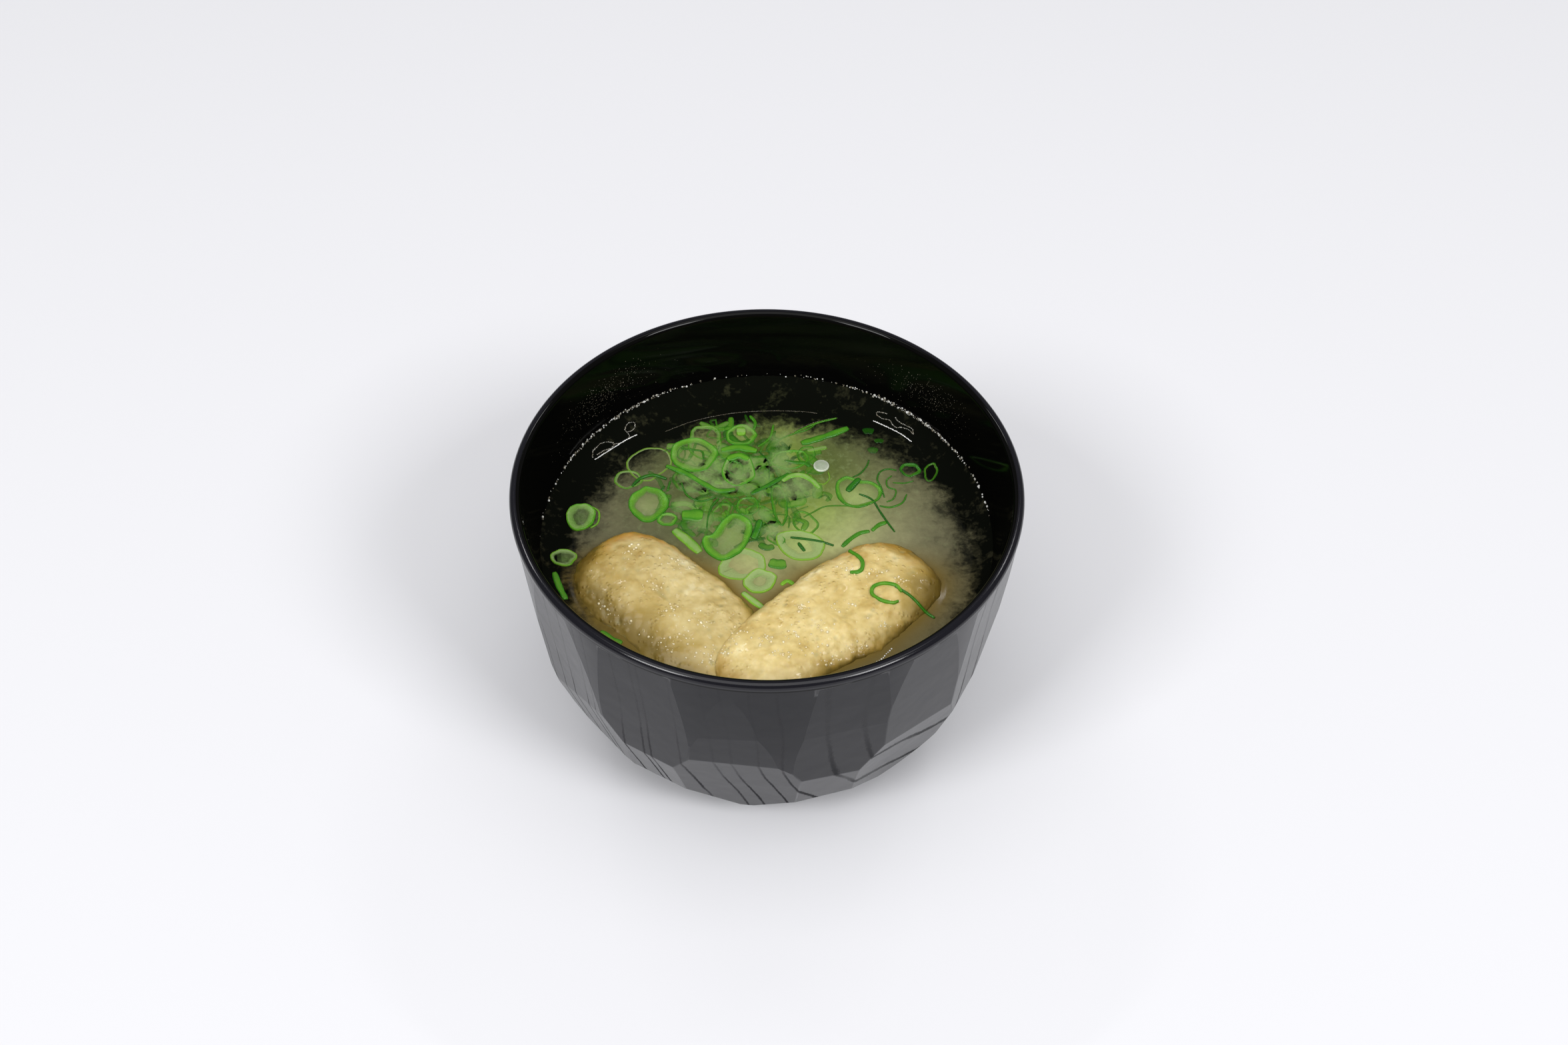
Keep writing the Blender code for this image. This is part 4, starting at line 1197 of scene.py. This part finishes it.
def beadToneWithGlints():
    material, tree, shader = newMaterial("beadToneWithGlints")
    place = placeInMm(tree)
    tint = addNode(tree, "ShaderNodeAttribute", attribute_name="leafTone")
    tone = addNode(tree, "ShaderNodeSeparateColor", {0: tint.outputs["Color"]}).outputs[0]
    shade = mathNode(tree, "MULTIPLY", mathNode(tree, "SUBTRACT", noiseNode(tree, place, 0.8, 2.0), 0.5), 0.8)
    # the pale and white end of this ramp paints glints and reflections; the dark end is dark drops
    colour = rampNode(
        tree,
        mathNode(tree, "ADD", tone, shade),
        [(0.0, (0.006, 0.006, 0.006)), (0.35, (0.19, 0.165, 0.115)), (0.7, (0.50, 0.50, 0.46)), (1.0, (0.85, 0.85, 0.83))],
    )
    tree.links.new(colour, shader.inputs["Base Color"])
    shader.inputs["Roughness"].default_value = 0.04
    return material


def brothBead():
    material, tree, shader = newMaterial("brothBead")
    shade = noiseNode(tree, placeInMm(tree), 0.4, 2.0)
    colour = rampNode(tree, shade, [(0.3, (0.60, 0.46, 0.19)), (0.7, (0.84, 0.76, 0.50))])
    tree.links.new(colour, shader.inputs["Base Color"])
    shader.inputs["Roughness"].default_value = 0.04
    shader.inputs["Specular IOR Level"].default_value = 0.9
    shader.inputs["Coat Weight"].default_value = 1.0
    return material


def bead(bm, layer, centre, radius, normal, squash=0.7, tone=0.2, sides=7):
    # a small dome standing on a surface
    turn = Vector((0, 0, 1)).rotation_difference(normal).to_matrix()
    rings = []
    for up, out in ((-0.25, 0.9), (0.2, 1.0), (0.65, 0.74)):
        ring = []
        for i in range(sides):
            angle = fullTurn * i / sides
            offset = Vector((radius * out * math.cos(angle), radius * out * math.sin(angle), radius * up * squash))
            ring.append(bm.verts.new(centre + turn @ offset))
        rings.append(ring)
    skin(bm, rings)
    top = bm.verts.new(centre + turn @ Vector((0, 0, radius * squash)))
    for i in range(sides):
        bm.faces.new((rings[-1][i], rings[-1][(i + 1) % sides], top))
    bm.faces.new(list(reversed(rings[0])))
    for vertex in (*rings[0], *rings[1], *rings[2], top):
        vertex[layer] = (tone, 0, 0, 1)


def wallPoint(degrees, depth, inset):
    angle = math.radians(degrees)
    radius = hollowRadius(depth) - inset
    return Vector((radius * math.cos(angle), radius * math.sin(angle), bowl["rim"] - depth))


def wallNormal(degrees):
    angle = math.radians(degrees)
    return Vector((-math.cos(angle), -math.sin(angle), 0.16)).normalized()


def makeDroplets():
    hand = random.Random(dropsAndGlints["seed"])
    bm, layer = newLeafMesh()
    up = Vector((0, 0, 1))
    for size, spacing, tone, *points in dropsAndGlints["chains"]:
        for point in curveThrough(points, False, spacing):
            x, y = point.x + hand.uniform(-0.05, 0.05), point.y + hand.uniform(-0.05, 0.05)
            radius = size * hand.uniform(0.7, 1.3)
            bead(bm, layer, Vector((x, y, restingHeight(x, y))), radius, up, tone=tone)
    line = dropsAndGlints["waterline"]
    contact = bowl["rim"] - soup["contact"]
    for i in range(line["count"]):
        degrees = hand.gauss(line["middles"][i % 2], line["spread"])
        depth = contact + (0.15 if i % 6 else 1.5) + hand.gauss(0, 0.22 if i % 6 else 0.07)
        # pale tones here paint glints on the contact-line beads
        tone = hand.uniform(0.1, 1.0)
        bead(bm, layer, wallPoint(degrees, depth, 0.02), hand.triangular(*line["size"], line["size"][0]), wallNormal(degrees), 0.9, tone)
    for middle, spread, count in dropsAndGlints["mistAndPaintedHaze"]:
        for _ in range(count):
            degrees = middle + hand.gauss(0, spread / 2)
            depth = 8.5 + hand.gauss(0, 2.6) + 0.05 * (degrees - middle)
            if 3 < depth < contact - 0.8:
                radius = 0.035 + 0.05 * hand.random() ** 3
                # the grey-tan tone of these specks paints the hazy lamp reflection on the wall
                bead(bm, layer, wallPoint(degrees, depth, 0.0), radius, wallNormal(degrees), tone=0.35)
    x, y = dropsAndGlints["crumb"]
    for dx, dy, size in ((0, 0, 0.32), (0.55, -0.25, 0.26)):
        bead(bm, layer, Vector((x + dx, y + dy, bowlHigh.z / mm - 0.35)), size, up, 1.0, 0.8)
    piece = newPiece("beadsAndPaintedGlints", bm, [beadToneWithGlints()])

    bm, layer = newLeafMesh()
    for middleX, middleY in dropsAndGlints["groups"]:
        for _ in range(dropsAndGlints["perGroup"]):
            x, y = hand.gauss(middleX, 1.7), hand.gauss(middleY, 1.2)
            for tofu in tofuTops:
                hit, normal = tofu.ray_cast(Vector((x, y, 90)), -up)[:2]
                if hit and hit.z > soup["level"] + 1.5 and hit.z >= restingHeight(x, y) - 0.01:
                    bead(bm, layer, hit, 0.12 + 0.26 * hand.random() ** 2, normal, 0.75, sides=10)
    piece = newPiece("tofuBubbles", bm, [brothBead()])


def filmBubble():
    material, tree, shader = newMaterial("filmBubble")
    place = placeInMm(tree)
    facing = addNode(tree, "ShaderNodeAttribute", attribute_name="leafTone").outputs["Color"]
    rim = addNode(tree, "ShaderNodeSeparateColor", {0: facing}).outputs[0]
    haze = noiseNode(tree, place, 0.9, 2.0)
    tree.links.new(
        rampNode(tree, haze, [(0.3, (0.50, 0.56, 0.42)), (0.7, (0.66, 0.70, 0.58))]), shader.inputs["Base Color"]
    )
    shader.inputs["Roughness"].default_value = 0.05
    clear = addNode(tree, "ShaderNodeBsdfTransparent")
    cover = mathNode(tree, "ADD", 0.55, mathNode(tree, "MULTIPLY", rim, 0.4))
    mixed = addNode(tree, "ShaderNodeMixShader", {0: cover, 1: clear.outputs[0], 2: shader.outputs[0]})
    tree.links.new(mixed.outputs[0], tree.nodes["Material Output"].inputs["Surface"])
    return material


def makeFilmBubble():
    x, y, radius = dropsAndGlints["disc"]
    bm, layer = newLeafMesh()
    rings = []
    for up, out in ((-0.3, 0.97), (0.25, 1.0), (0.42, 0.93), (0.46, 0.8), (0.52, 0.5), (0.55, 0.2)):
        ring = ringOfPoints(bm, radius * out, soup["level"] + up, 40)
        for vertex in ring:
            vertex.co += Vector((x, y, 0))
            vertex[layer] = (1.0 if out > 0.9 else 0.0, 0, 0, 1)
        rings.append(ring)
    skin(bm, rings)
    bm.faces.new(rings[-1])
    bm.faces.new(list(reversed(rings[0])))
    piece = newPiece("filmBubble", bm, [filmBubble()])


makeDroplets()
makeFilmBubble()
print("foam and drops set")

# ---------- table, light and camera

table = {"colour": (0.80, 0.80, 0.83), "size": 4.0}


def makeTable():
    bm = bmesh.new()
    bmesh.ops.create_grid(bm, x_segments=2, y_segments=2, size=table["size"] / 2)
    mesh = bpy.data.meshes.new("whiteTable")
    bm.to_mesh(mesh)
    bm.free()
    material, tree, shader = newMaterial("whiteTable")
    shader.inputs["Base Color"].default_value = (*table["colour"], 1)
    shader.inputs["Roughness"].default_value = 0.6
    shader.inputs["Specular IOR Level"].default_value = 0.12
    mesh.materials.append(material)
    piece = bpy.data.objects.new("whiteTable", mesh)
    scene.collection.objects.link(piece)


makeTable()

lights = {
    "leftBack": {"place": (-0.60, 0.85, 1.3), "size": (0.45, 0.05), "power": 1.2},
    "rightBack": {"place": (0.60, 0.85, 1.3), "size": (0.45, 0.05), "power": 1.2},
    "leftFront": {"place": (-1.05, -1.0, 1.45), "size": (0.6, 0.6), "power": 16},
    "rightFront": {"place": (1.05, -1.0, 1.45), "size": (0.6, 0.6), "power": 17},
    "overhead": {"place": (0.0, -0.45, 2.15), "size": (2.2, 2.0), "power": 23.0},
}
for name, light in lights.items():
    data = bpy.data.lights.new(name, "AREA")
    data.shape = "RECTANGLE"
    data.size, data.size_y = light["size"]
    data.energy = light["power"]
    lamp = bpy.data.objects.new(name, data)
    lamp.location = light["place"]
    lamp.rotation_euler = (Vector((0, 0, 0.05)) - Vector(light["place"])).to_track_quat("-Z", "Y").to_euler()
    scene.collection.objects.link(lamp)

world = bpy.data.worlds.new("room")
scene.world = world
world.use_nodes = True
world.node_tree.nodes["Background"].inputs["Color"].default_value = (1, 1, 1, 1)
world.node_tree.nodes["Background"].inputs["Strength"].default_value = 0.2
scene.view_settings.view_transform = "Standard"

view = {"distance": 0.41808, "elevation": 47.24, "pitch": 48.43, "yaw": 0.785, "roll": 1.02, "lens": 42.857}


def makeCamera():
    data = bpy.data.cameras.new("camera")
    data.sensor_width = 36
    data.lens = view["lens"]
    data.clip_start = 0.01
    camera = bpy.data.objects.new("camera", data)
    lift = math.radians(view["elevation"])
    camera.matrix_world = (
        Matrix.Translation(
            (0, -view["distance"] * math.cos(lift), bowl["rim"] * mm + view["distance"] * math.sin(lift))
        )
        @ Matrix.Rotation(-math.radians(view["yaw"]), 4, "Z")
        @ Matrix.Rotation(math.radians(90 - view["pitch"]), 4, "X")
        @ Matrix.Rotation(math.radians(view["roll"]), 4, "Z")
    )
    scene.collection.objects.link(camera)
    scene.camera = camera


makeCamera()
print("stage set")
